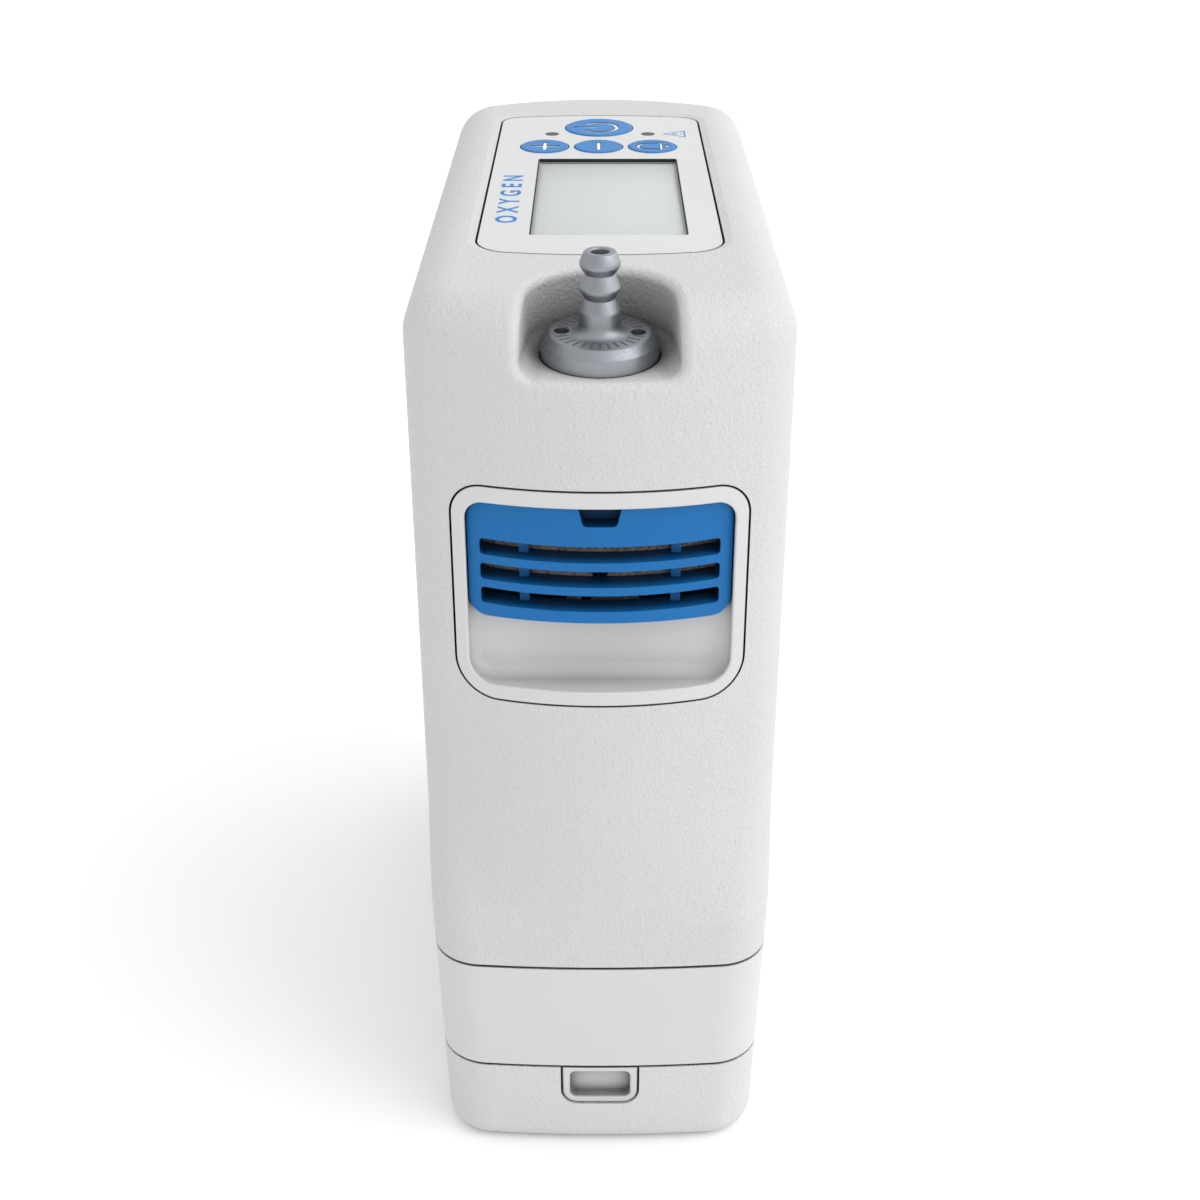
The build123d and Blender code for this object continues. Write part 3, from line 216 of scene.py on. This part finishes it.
def smooth_plastic(
    name, colour, rough=0.42, tint=0.01, depth=0.000012, coat=0.0, shade=0.0, specular=0.45, span=HOLLOW_SPAN
):
    """Satin moulded plastic: very fine spark texture and faint flow marks, and painted shade in hollows when shade
    is set.
    """
    material, tree, shader, place = start_material(name, colour, rough, coat=coat, specular=specular)
    vary_tone_and_paint_shade(tree, shader, place, colour, tint, 28, shade, span)
    bump(tree, shader, noise(tree, place, 2600, 2, 0.5), depth, 0.6)
    flow = noise(tree, place, 60, 4)
    tree.links.new(remap(tree, flow, rough - 0.04, rough + 0.05), shader.inputs["Roughness"])
    return material


def metal(name, colour, rough, stretch=None, scale=900, depth=0.00001, tint=0.06):
    """Metal with machining or blasting marks; stretch draws the marks out along an axis."""
    material, tree, shader, place = start_material(name, colour, rough, metallic=1.0)
    vary_tone_and_paint_shade(tree, shader, place, colour, tint, 120)
    marks = noise(tree, place, scale, 4, 0.65, 0.0, stretch)
    bump(tree, shader, marks, depth, 0.7)
    tree.links.new(remap(tree, marks, rough - 0.08, rough + 0.12), shader.inputs["Roughness"])
    return material


def rubber(name, colour, rough=0.7):
    """Soft rubber or silicone with a faint bloom."""
    material, tree, shader, place = start_material(name, colour, rough, specular=0.3)
    vary_tone_and_paint_shade(tree, shader, place, colour, 0.15, 150)
    bump(tree, shader, noise(tree, place, 1500, 3), 0.00002, 0.5)
    return material


def foam(name, colour):
    """Open-cell filter foam, with painted shade in its pores."""
    material, tree, shader, place = start_material(name, colour, 0.95, specular=0.1)
    pores = cells(tree, place, 1400, smooth=0.1)
    # painted shade: the pores are darkened to stand for the shadow inside the cells
    painted_pore_shade = blend_colours(tree, remap(tree, pores, 0, 1, 0.1, 0.6), scaled(colour, 0.45), colour)
    tree.links.new(painted_pore_shade, shader.inputs["Base Color"])
    bump(tree, shader, pores, 0.0004, 0.9)
    return material


def circuit(name, colour):
    """Solder mask with traces showing through."""
    material, tree, shader, place = start_material(name, colour, 0.35, coat=0.3)
    traces = noise(tree, place, 260, 1, 0.2, 0.0, (1, 6, 1))
    light = tuple(min(1.0, channel * 1.9 + 0.01) for channel in colour)
    steps = remap(tree, traces, 0, 1, 0.49, 0.51)
    tree.links.new(blend_colours(tree, steps, colour, light), shader.inputs["Base Color"])
    bump(tree, shader, steps, 0.00003, 0.6)
    return material


def clear_pane(name):
    """Clear pane with faint dust in its gloss; mostly see-through."""
    material, tree, shader, place = start_material(name, (0.9, 0.93, 0.92), 0.1, specular=0.35)
    shader.inputs["Alpha"].default_value = 0.04
    tree.links.new(remap(tree, noise(tree, place, 90, 5), 0.06, 0.14), shader.inputs["Roughness"])
    return material


def display(name, colour):
    """Reflective liquid-crystal display: pale grey-green with a fine dot grid."""
    material, tree, shader, place = start_material(name, colour, 0.45, specular=0.3)
    grid = cells(tree, place, 2600, randomness=0.0)
    dots = blend_colours(tree, remap(tree, grid, 0, 1, 0.2, 0.6), scaled(colour, 0.975), colour)
    tree.links.new(dots, shader.inputs["Base Color"])
    bump(tree, shader, noise(tree, place, 1200, 2), 0.000004, 0.3)
    return material


FINISHES = {
    # grained_white, smooth_white, panel_white and grille_blue paint shade into their colour in gaps and hollows
    "grained_white": lambda n: grained_plastic(n, (0.552, 0.553, 0.553)),
    "smooth_white": lambda n: smooth_plastic(n, (0.566, 0.566, 0.566), 0.4, shade=0.7),
    "panel_white": lambda n: smooth_plastic(n, (0.578, 0.582, 0.582), 0.38, shade=0.7),
    "grille_blue": lambda n: smooth_plastic(
        n, (0.004, 0.128, 0.37), 0.42, 0.03, 0.00002, shade=0.85, specular=0.25
    ),
    "key_blue": lambda n: smooth_plastic(n, (0.03, 0.185, 0.475), 0.45, 0.02, specular=0.2),
    "nozzle_metal": lambda n: metal(n, (0.30, 0.315, 0.34), 0.42, None, 2400, 0.000012),
    "clear_pane": clear_pane,
    "lcd_grey": lambda n: display(n, (0.515, 0.552, 0.533)),
    "light_grey": lambda n: smooth_plastic(n, (0.085, 0.087, 0.087), 0.5, 0.05, specular=0.2),
    "filter_foam": lambda n: foam(n, (0.22, 0.205, 0.19)),
    "board_green": lambda n: circuit(n, (0.012, 0.11, 0.05)),
    "black_plastic": lambda n: smooth_plastic(n, (0.022, 0.022, 0.025), 0.5, 0.1),
    "grey_plastic": lambda n: smooth_plastic(n, (0.16, 0.165, 0.17), 0.5, 0.05),
    "black_rubber": lambda n: rubber(n, (0.018, 0.018, 0.018)),
    "silicone": lambda n: rubber(n, (0.62, 0.65, 0.66), 0.45),
    "cast_aluminium": lambda n: metal(n, (0.55, 0.56, 0.57), 0.45, None, 500, 0.00003),
    "steel": lambda n: metal(n, (0.5, 0.5, 0.51), 0.28, (1, 1, 14), 900),
    "copper": lambda n: metal(n, (0.72, 0.34, 0.16), 0.32, (1, 6, 1), 700),
    "gold": lambda n: metal(n, (0.85, 0.62, 0.22), 0.22),
    "cell_wrap": lambda n: smooth_plastic(n, (0.02, 0.12, 0.055), 0.22, 0.05, coat=0.3),
    "sieve_beads": lambda n: foam(n, (0.55, 0.5, 0.4)),
    # finishes of the visual pieces, and of two parts that need their own painted shade
    "icon_white": lambda n: smooth_plastic(n, (0.86, 0.87, 0.87), 0.5),
    "print_blue": lambda n: smooth_plastic(n, (0.03, 0.18, 0.50), 0.5, 0.03, specular=0.2),
    "engraving": lambda n: smooth_plastic(n, (0.06, 0.06, 0.065), 0.6, 0.1),
    # dark grey painted on the walls of the key symbols' grooves, standing for the shade in them
    "groove_painted_shade": lambda n: smooth_plastic(n, (0.10, 0.11, 0.12), 0.6, 0.1),
    # near-black strip in the seams, painted shade for the dark gap
    "seam_painted_shade": lambda n: rubber(n, (0.02, 0.02, 0.021)),
    "border_grey": lambda n: smooth_plastic(n, (0.34, 0.345, 0.345), 0.5),
    # grained_base: painted shade from the battery case alone, so the floor casts none into it; latch_white: deeper
    # painted shade for the latch in its pocket
    "grained_base": lambda n: grained_plastic(n, (0.575, 0.576, 0.576), alone=True),
    "latch_white": lambda n: smooth_plastic(n, (0.566, 0.566, 0.566), 0.4, shade=0.85, span=(0.2, 0.95)),
}
finish = {name: make(name) for name, make in FINISHES.items()}

for subpart in frame["record"]["subparts"]:
    mesh = nodes[subpart["node"]].data
    mesh.materials.clear()
    mesh.materials.append(finish[subpart["material_slot"]])
# the latch and the battery case take their own painted shade
nodes["latch_button"].data.materials[0] = finish["latch_white"]
nodes["battery_case"].data.materials[0] = finish["grained_base"]


# ---------------------------------------------------------------- mesh helpers
def new_object(name, mesh, material, body):
    """Adds a mesh as a piece that rides on a body."""
    obj = bpy.data.objects.new(name, mesh)
    scene.collection.objects.link(obj)
    mesh.materials.clear()
    mesh.materials.append(finish[material])
    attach(obj, body)
    return obj


def smooth_shade(mesh, angle=35):
    """Smooth shading with sharp edges kept above the angle."""
    mesh.polygons.foreach_set("use_smooth", [True] * len(mesh.polygons))
    mesh.set_sharp_from_angle(angle=math.radians(angle))


def mesh_from_bmesh(name, bm):
    """Finished mesh from a bmesh, normals outwards."""
    bmesh.ops.recalc_face_normals(bm, faces=bm.faces)
    mesh = bpy.data.meshes.new(name)
    bm.to_mesh(mesh)
    bm.free()
    return mesh


def place_frame(origin, x_axis, y_axis, z_axis):
    """Matrix that puts local axes at a point of the part's frame."""
    matrix = Matrix((x_axis, y_axis, z_axis)).transposed().to_4x4()
    matrix.translation = origin
    return matrix


def top_centre(node_name):
    """Centre of a node's uppermost face, along the sloping top's normal."""
    points = [vertex.co for vertex in nodes[node_name].data.vertices]
    height = max(point.dot(UP) for point in points)
    face = [point for point in points if point.dot(UP) > height - 2e-5]
    low = Vector([min(point[axis] for point in face) for axis in range(3)])
    high = Vector([max(point[axis] for point in face) for axis in range(3)])
    return (low + high) / 2


def stroke(bm, points, width, height, closed=False):
    """Raised line along flat points, with chamfered sides, in a bmesh."""
    count = len(points)
    sections = []
    for index, point in enumerate(points):
        here = Vector(point)
        before = Vector(points[index - 1]) if index or closed else None
        after = Vector(points[(index + 1) % count]) if index < count - 1 or closed else None
        toward = Vector((0, 0))
        if before is not None:
            toward += (here - before).normalized()
        if after is not None:
            toward += (after - here).normalized()
        toward.normalize()
        side = Vector((-toward.y, toward.x))
        ring = []
        for across, up in ((-0.5, -0.4), (-0.5, 0.5), (-0.36, 1), (0.36, 1), (0.5, 0.5), (0.5, -0.4)):
            spot = here + side * across * width
            ring.append(bm.verts.new((spot.x, spot.y, up * height)))
        sections.append(ring)
    pairs = list(zip(sections, sections[1:]))
    if closed:
        pairs.append((sections[-1], sections[0]))
    for first, second in pairs:
        for k in range(6):
            bm.faces.new((first[k], first[(k + 1) % 6], second[(k + 1) % 6], second[k]))
    if not closed:
        bm.faces.new(sections[0])
        bm.faces.new(sections[-1][::-1])


def arc(radius, start, end, steps=24, centre=(0, 0)):
    """Points along an arc, angles in degrees."""
    return [
        (
            centre[0] + radius * math.cos(math.radians(start + (end - start) * k / steps)),
            centre[1] + radius * math.sin(math.radians(start + (end - start) * k / steps)),
        )
        for k in range(steps + 1)
    ]


def lathe(name, profile, sides):
    """Mesh turned about local Z from (radius, height) points."""
    bm = bmesh.new()
    rings = []
    for radius, height in profile:
        if radius < 1e-7:
            rings.append([bm.verts.new((0, 0, height))])
            continue
        ring = []
        for k in range(sides):
            turn = 2 * math.pi * k / sides
            ring.append(bm.verts.new((radius * math.cos(turn), radius * math.sin(turn), height)))
        rings.append(ring)
    for first, second in zip(rings, rings[1:]):
        for k in range(sides):
            after = (k + 1) % sides
            if len(first) == 1:
                bm.faces.new((first[0], second[k], second[after]))
            elif len(second) == 1:
                bm.faces.new((first[k], second[0], first[after]))
            else:
                bm.faces.new((first[k], second[k], second[after], first[after]))
    return mesh_from_bmesh(name, bm)


# ---------------------------------------------------------------- keys and panel printing
def carve(obj, cutter_mesh, crossing=False):
    """Cuts a mesh out of an object; crossing says that the cutter's own strokes run through each other.

    The cut faces keep the cutter's material.
    """
    cutter = bpy.data.objects.new("cutter", cutter_mesh)
    scene.collection.objects.link(cutter)
    cut = obj.modifiers.new("cut", "BOOLEAN")
    cut.object = cutter
    cut.solver = "EXACT"
    cut.use_self = crossing
    cut.material_mode = "TRANSFER"
    bpy.context.view_layer.update()
    carved = bpy.data.meshes.new_from_object(obj.evaluated_get(bpy.context.evaluated_depsgraph_get()))
    obj.modifiers.clear()
    obj.data = carved
    bpy.data.objects.remove(cutter)


def lines_mesh(name, lines, width, height):
    """Mesh of lines; each line is (points, closed) in millimetres."""
    bm = bmesh.new()
    for points, closed in lines:
        stroke(bm, [(x * MM, y * MM) for x, y in points], width, height, closed)
    return mesh_from_bmesh(name, bm)


KEY_EDGE_R = 0.35 * MM
GROOVE_CUTTER = 0.5 * MM  # how far the groove's cutter stands over its middle
GROOVE_MIDDLE = 0.22 * MM  # depth of the cutter's middle under the cap's top
FILL_DEPTH = 0.34 * MM
FILL_HEIGHT = 0.12 * MM


def symbol_key(node_name, body, lines, width):
    """Soft-edged, slightly dished cap with a filled groove for its symbol."""
    centre = top_centre(node_name)
    # heights and distances from the cap's own axis, read from the CAD key
    points = np.array([vertex.co for vertex in nodes[node_name].data.vertices]) - np.array(centre)
    height = points @ np.array(UP)
    distance = np.linalg.norm(points - np.outer(height, np.array(UP)), axis=1)
    radius = distance[height > -0.6 * MM].max()
    low = height.min()
    flange = distance.max()
    foot = distance[height < low + 0.1 * MM].max()
    collar = height[distance > radius + 0.2 * MM].max()
    base = height[distance > radius + 0.2 * MM].min()
    dish = [(0.0, -0.10 * MM), (radius * 0.45, -0.07 * MM), (radius * 0.8, -0.02 * MM)]
    profile = dish + [
        (radius - KEY_EDGE_R + y, -KEY_EDGE_R + x) for x, y in arc(KEY_EDGE_R, 0, 90, 6)
    ]
    profile += [(radius, collar), (flange, collar), (flange, base), (foot, base), (foot, low), (0.0, low)]
    mesh = lathe(node_name + "_cap", profile, 72)
    cap = new_object(node_name + "_cap", mesh, "key_blue", body)
    groove = lines_mesh("groove", lines, width, GROOVE_CUTTER)
    groove.transform(Matrix.Translation((0, 0, -GROOVE_MIDDLE)))
    # the groove's walls take the cutter's dark grey: painted shade in the groove
    groove.materials.append(finish["groove_painted_shade"])
    carve(cap, groove, crossing=True)
    cap.data.transform(place_frame(centre, ACROSS, BACKWARD, UP))
    smooth_shade(cap.data, 32)
    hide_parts(node_name)
    fill = lines_mesh(node_name + "_symbol", lines, width - 0.2 * MM, FILL_HEIGHT)
    fill.transform(place_frame(centre - UP * FILL_DEPTH, ACROSS, BACKWARD, UP))
    smooth_shade(fill, 20)
    new_object(node_name + "_symbol", fill, "icon_white", body)


# the symbols are read from the right-hand side, so their tops point to -X
bell = [(1.9, -2.6)] + arc(2.2, -90, -270, 20, (-0.9, 0)) + [(1.9, 2.6), (1.9, -2.6)]
clapper = [(2.9, -0.9), (3.4, 0), (2.9, 0.9)]
dial = arc(4.0, -140, 140, 40)
dial_bar = [(-5.6, 0), (-0.4, 0)]
level_bar = [(0, -3.0), (0, 3.0)]
upright_bar = [(-3.2, 0), (3.2, 0)]
SYMBOL_LINE = 0.95 * MM
BELL_LINE = 0.75 * MM
symbol_key("plus_button", "plus_key", [(upright_bar, False), (level_bar, False)], SYMBOL_LINE)
symbol_key("minus_button", "minus_key", [(level_bar, False)], SYMBOL_LINE)
symbol_key("alert_button", "alert_key", [(bell, False), (clapper, False)], BELL_LINE)
symbol_key("power_button", "power_key", [(dial, False), (dial_bar, False)], SYMBOL_LINE)

PANEL_LEVEL = max(vertex.co.dot(UP) for vertex in nodes["control_panel"].data.vertices)


def on_panel(x, y):
    """Point of the panel's face at the given X and Y."""
    z = (PANEL_LEVEL - x * UP.x - y * UP.y) / UP.z
    return Vector((x, y, z))


def panel_text(words, place, size, spacing):
    """Raised print on the panel, read from the right-hand side."""
    curve = bpy.data.curves.new("panel_text", "FONT")
    curve.body = words
    curve.size = size
    curve.space_character = spacing
    curve.extrude = 0.02 * MM
    curve.offset = 0.13 * MM
    curve.align_y = "CENTER"
    holder = bpy.data.objects.new("panel_text_source", curve)
    scene.collection.objects.link(holder)
    bpy.context.view_layer.update()
    mesh = bpy.data.meshes.new_from_object(holder)
    bpy.data.objects.remove(holder)
    mesh.transform(place_frame(place, BACKWARD, -ACROSS, UP))
    new_object("panel_text", mesh, "print_blue", "housing")


panel_text("OXYGEN", on_panel(-17.3 * MM, -27.0 * MM), 5.5 * MM, 1.62)

triangle = [(-2.3, 0), (2.3, -2.5), (2.3, 2.5)]
marks = [(triangle, True), ([(-0.5, 0), (0.7, 0)], False), ([(1.3, 0), (1.7, 0)], False)]
mesh = lines_mesh("panel_mark", marks, 0.62 * MM, 0.03 * MM)
mesh.transform(place_frame(on_panel(16.4 * MM, 36.3 * MM), ACROSS, BACKWARD, UP))
new_object("panel_mark", mesh, "print_blue", "housing")


def display_frame(name, material, outset, width, low, high):
    """Thin upright frame inside the display opening, heights from the pane's face."""
    half_x = pane_half_x + outset
    half_y = pane_half_y + outset
    bm = bmesh.new()
    ring = []
    for x, y in ((-1, -1), (1, -1), (1, 1), (-1, 1)):
        outer = (x * half_x, y * half_y)
        inner = (x * (half_x - width), y * (half_y - width))
        section = ((outer, low), (outer, high), (inner, high), (inner, low))
        ring.append([bm.verts.new((*spot, z)) for spot, z in section])
    for k in range(4):
        first, second = ring[k], ring[(k + 1) % 4]
        for j in range(4):
            bm.faces.new((first[j], second[j], second[(j + 1) % 4], first[(j + 1) % 4]))
    mesh = mesh_from_bmesh(name, bm)
    mesh.transform(place_frame(pane_top, ACROSS, BACKWARD, UP))
    new_object(name, mesh, material, "housing")


def display_plate(name, finish_name, top, thickness):
    """Flat plate with rounded edges under the display opening; top is over the pane's CAD face."""
    bm = bmesh.new()
    bmesh.ops.create_cube(bm, size=1)
    size = (2 * (pane_half_x - PLATE_GAP), 2 * (pane_half_y - PLATE_GAP), thickness)
    bmesh.ops.scale(bm, vec=size, verts=bm.verts)
    bmesh.ops.translate(bm, vec=(0, 0, top - thickness / 2), verts=bm.verts)
    bmesh.ops.bevel(bm, geom=bm.edges[:], offset=0.04 * MM, segments=2, affect="EDGES", profile=0.5)
    mesh = mesh_from_bmesh(name, bm)
    mesh.transform(place_frame(pane_top, ACROSS, BACKWARD, UP))
    smooth_shade(mesh, 30)
    return new_object(name, mesh, finish_name, "housing")


def half_extent(node_name, direction):
    """Half of a node's size along a direction."""
    along = [vertex.co.dot(direction) for vertex in nodes[node_name].data.vertices]
    return (max(along) - min(along)) / 2


pane_top = top_centre("lcd_window")
pane_half_x = half_extent("lcd_window", ACROSS)
pane_half_y = half_extent("lcd_window", BACKWARD)
pane_drop = PANEL_LEVEL - pane_top.dot(UP)
PLATE_GAP = 0.1 * MM  # round each plate, inside the opening
LIFT = 0.35 * MM  # of the clear pane over its CAD face
pane = display_plate("display_pane", "clear_pane", LIFT, 0.12 * MM)
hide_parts("lcd_window")
display_plate("display_sheet", "lcd_grey", LIFT - 0.15 * MM, 0.7 * MM)
display_frame("display_gasket", "black_rubber", 0.08 * MM, 0.14 * MM, 0.01 * MM, pane_drop - 0.05 * MM)
display_frame("display_border", "border_grey", -0.08 * MM, 0.42 * MM, LIFT + 0.01 * MM, LIFT + 0.04 * MM)


# ---------------------------------------------------------------- painted shade strips in the seams
SHADE_STRIP_STATIONS = 240
SHADE_STRIP_INSET = 0.3 * MM
SHADE_STRIP_HALF = 0.27 * MM
OUTSIDE = 0.3  # start of the rays that find the outline, well outside the part
ABOVE_SEAM = 0.6 * MM


def seam_shade_strip(name, level, above, body):
    """Painted shade: a dark strip in the gap between two stacked sections, following the outline of the nodes
    above.
    """
    ring = []
    for k in range(SHADE_STRIP_STATIONS):
        turn = 2 * math.pi * k / SHADE_STRIP_STATIONS
        # more stations round the corners of the long outline
        direction = Vector((math.cos(turn) * 0.45, math.sin(turn), 0)).normalized()
        origin = direction * OUTSIDE + Vector((0, 0, level + ABOVE_SEAM))
        casts = [nodes[node_name].ray_cast(origin, -direction) for node_name in above]
        hits = [spot for hit, spot, normal, index in casts if hit]
        ring.append(max(hits, key=lambda spot: spot.dot(direction)))
    bm = bmesh.new()
    rows = []
    back = SHADE_STRIP_INSET + 0.8 * MM
    section = (
        (SHADE_STRIP_INSET, -SHADE_STRIP_HALF),
        (SHADE_STRIP_INSET - 0.05 * MM, 0.0),
        (SHADE_STRIP_INSET, SHADE_STRIP_HALF),
        (back, SHADE_STRIP_HALF),
        (back, -SHADE_STRIP_HALF),
    )
    for spot in ring:
        outwards = Vector((spot.x, spot.y * 0.25, 0)).normalized()
        places = [(spot.x - outwards.x * d, spot.y - outwards.y * d, level + z) for d, z in section]
        rows.append([bm.verts.new(place) for place in places])
    for first, second in zip(rows, rows[1:] + rows[:1]):
        for j in range(5):
            bm.faces.new((first[j], second[j], second[(j + 1) % 5], first[(j + 1) % 5]))
    mesh = mesh_from_bmesh(name, bm)
    smooth_shade(mesh, 40)
    new_object(name, mesh, "seam_painted_shade", body)


def level_between(upper, lower):
    """Middle height of the gap between two nodes."""
    return (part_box(upper)[0].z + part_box(lower)[1].z) / 2


upper_level = level_between("main_housing", "cartridge_shell")
lower_level = level_between("port_block", "battery_case")
# dark strips in the seam gaps, painted shade
seam_shade_strip("upper_seam_shade_strip", upper_level, ["main_housing"], "housing")
seam_shade_strip("lower_seam_shade_strip", lower_level, ["cartridge_shell", "port_block"], "cartridge")


# ---------------------------------------------------------------- oxygen outlet
FLANGE_TO_MOUNT = 2.5  # the outlet's own sizes are in millimetres
PLUG_R = 6.0
PLUG_LENGTH = 6.3
OUTLET_BORE_R = 1.5
ROOT_FILLET_R = 1.8
NECK_R = 2.5
UPPER_CREST_R = 3.42
TIP_CREST_R = 3.36
SPANNER_R = 1.32
SPANNER_REACH = 6.4
MARK_COUNT = 30
MARK_OUTER_R = 7.6


def barb(crest_r, crest_z, neck_z):
    """Profile of one barb: a straight crest, a cone in to the neck, and a cone out to the next crest."""
    return [
        (crest_r, crest_z - 0.12),
        (crest_r - 0.03, crest_z + 0.06),
        (crest_r - 0.14, crest_z + 0.3),
        ((crest_r + NECK_R) / 2, (crest_z + neck_z) / 2),
        (NECK_R, neck_z),
        (NECK_R + 0.06, neck_z + 0.1),
        (NECK_R + 0.34, neck_z + 0.5),
        (NECK_R + 0.72, neck_z + 1.1),
        (NECK_R + 0.86, neck_z + 1.4),
    ]


def outlet_profile(stem_r, flange_r, foot, tip):
    """Radius and height of each ring of the outlet, heights from the flange's top."""
    flange_z = foot + PLUG_LENGTH
    flange = [
        (OUTLET_BORE_R, foot),
        (PLUG_R, foot),
        (PLUG_R, flange_z),
        (flange_r - 0.2, flange_z),
        (flange_r, flange_z + 0.25),
        (flange_r, -1.55),
        (flange_r - 0.04, -1.42),
        (flange_r - 0.13, -1.28),
        (flange_r - 1.38, -0.11),
        (flange_r - 1.48, -0.03),
        (flange_r - 1.6, 0.0),
    ]
    root = [
        (stem_r + ROOT_FILLET_R - y, ROOT_FILLET_R - x) for x, y in arc(ROOT_FILLET_R, 0, 90, 8)
    ]
    nose = [
        (TIP_CREST_R, tip - 2.2),
        (TIP_CREST_R, tip - 1.75),
        (TIP_CREST_R - 0.06, tip - 1.5),
        (2.72, tip - 0.25),
        (2.6, tip - 0.08),
        (2.3, tip),
        (OUTLET_BORE_R + 0.25, tip),
        (OUTLET_BORE_R + 0.05, tip - 0.2),
        (OUTLET_BORE_R, tip - 0.5),
        (OUTLET_BORE_R, foot),
    ]
    lower_barb = barb(stem_r, tip - 10.0, tip - 7.9)
    upper_barb = barb(UPPER_CREST_R, tip - 6.0, tip - 3.7)
    return flange + root + lower_barb + upper_barb + nose


def outlet():
    """Turned metal outlet with three soft barbs, spanner holes and a ring of marks."""
    mount = mounts["outlet_barb"]
    axis = Vector(mount["axis"]).normalized()
    flange_top = Vector(mount["pos_m"]) - axis * FLANGE_TO_MOUNT * MM
    seat = place_frame(flange_top, ACROSS, axis.cross(ACROSS), axis)
    points = [vertex.co - flange_top for vertex in nodes["outlet_nozzle"].data.vertices]
    heights = [point.dot(axis) for point in points]
    flange_r = max((point - axis * height).length for point, height in zip(points, heights)) / MM
    profile = outlet_profile(mount["dims"]["r_mm"], flange_r, min(heights) / MM, max(heights) / MM)
    mesh = lathe("outlet_nozzle_turned", [(r * MM, z * MM) for r, z in profile], 96)
    turned = new_object("outlet_nozzle_turned", mesh, "nozzle_metal", "housing")
    drills = bmesh.new()
    for side in (-1, 1):
        bmesh.ops.create_cone(
            drills,
            segments=32,
            radius1=SPANNER_R * MM,
            radius2=SPANNER_R * MM,
            depth=4 * MM,
            cap_ends=True,
            matrix=Matrix.Translation((side * SPANNER_REACH * MM, side * -0.3 * MM, -0.2 * MM)),
        )
    drill_mesh = mesh_from_bmesh("spanner_drills", drills)
    drill_mesh.materials.append(finish["nozzle_metal"])
    mesh.transform(seat)
    drill_mesh.transform(seat)
    carve(turned, drill_mesh)
    smooth_shade(turned.data, 30)
    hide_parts("outlet_nozzle")
    marks = bmesh.new()
    for k in range(MARK_COUNT):
        turn = 360 * k / MARK_COUNT + 6
        beside_spanner_hole = min(turn % 180, 180 - turn % 180) < 18
        if beside_spanner_hole:
            continue
        inner_r = 5.7 if k % 3 else 5.3
        direction = Vector((math.cos(math.radians(turn)), math.sin(math.radians(turn)))) * MM
        stroke(marks, [direction * inner_r, direction * MARK_OUTER_R], 0.4 * MM, 0.012 * MM)
    mark_mesh = mesh_from_bmesh("outlet_marks", marks)
    mark_mesh.transform(seat)
    new_object("outlet_marks", mark_mesh, "engraving", "housing")


outlet()


# ---------------------------------------------------------------- stage, light and camera
def soft_light(name, place, target, size, power):
    """Square area light aimed at a point."""
    light = bpy.data.lights.new(name, "AREA")
    light.shape = "SQUARE"
    light.size = size
    light.energy = power
    obj = bpy.data.objects.new(name, light)
    scene.collection.objects.link(obj)
    obj.location = place
    obj.rotation_euler = (Vector(target) - Vector(place)).to_track_quat("-Z", "Y").to_euler()


def floor():
    """Wide pale floor."""
    bm = bmesh.new()
    bmesh.ops.create_grid(bm, x_segments=2, y_segments=2, size=6)
    mesh = mesh_from_bmesh("floor", bm)
    pale = (0.96, 0.96, 0.96)
    material, tree, shader, place = start_material("floor_pale", pale, 0.9, specular=0.1)
    vary_tone_and_paint_shade(tree, shader, place, pale, 0.004, 3)
    mesh.materials.append(material)
    obj = bpy.data.objects.new("floor", mesh)
    scene.collection.objects.link(obj)
    obj.location.z = cad_box[0][2]


floor()
soft_light("key_light", place=(0.9, -0.5, 1.1), target=(0, 0, 0.1), size=0.9, power=4)


def studio_world():
    """White surroundings, a little brighter to the right and above."""
    world = bpy.data.worlds.new("studio")
    world.use_nodes = True
    tree = world.node_tree
    background = tree.nodes["Background"]
    background.inputs["Color"].default_value = (1, 1, 1, 1)
    place = tree.nodes.new("ShaderNodeTexCoord").outputs["Generated"]
    parts = tree.nodes.new("ShaderNodeSeparateXYZ")
    tree.links.new(place, parts.inputs["Vector"])
    # strength by direction: a steady level, more to the right, above and to both sides
    right = combine(tree, "MULTIPLY", parts.outputs["X"], 0.46)
    upwards = combine(tree, "MULTIPLY", parts.outputs["Z"], 0.17)
    sides = combine(tree, "MULTIPLY", combine(tree, "POWER", parts.outputs["X"], 2), 0.50)
    level = combine(tree, "ADD", combine(tree, "ADD", right, upwards), combine(tree, "ADD", sides, 0.92))
    tree.links.new(level, background.inputs["Strength"])
    scene.world = world


studio_world()
scene.view_settings.view_transform = "Standard"

SENSOR_WIDTH = 36
FOCAL_LENGTH = 44.88
CAMERA_PLACE = (0, -0.3080, 0.2295)
LOOKS_DOWN = 24.59  # degrees

camera_data = bpy.data.cameras.new("camera")
camera_data.sensor_width = SENSOR_WIDTH
camera_data.lens = FOCAL_LENGTH
camera = bpy.data.objects.new("camera", camera_data)
scene.collection.objects.link(camera)
camera.location = CAMERA_PLACE
camera.rotation_euler = (math.radians(90 - LOOKS_DOWN), 0, 0)
scene.camera = camera
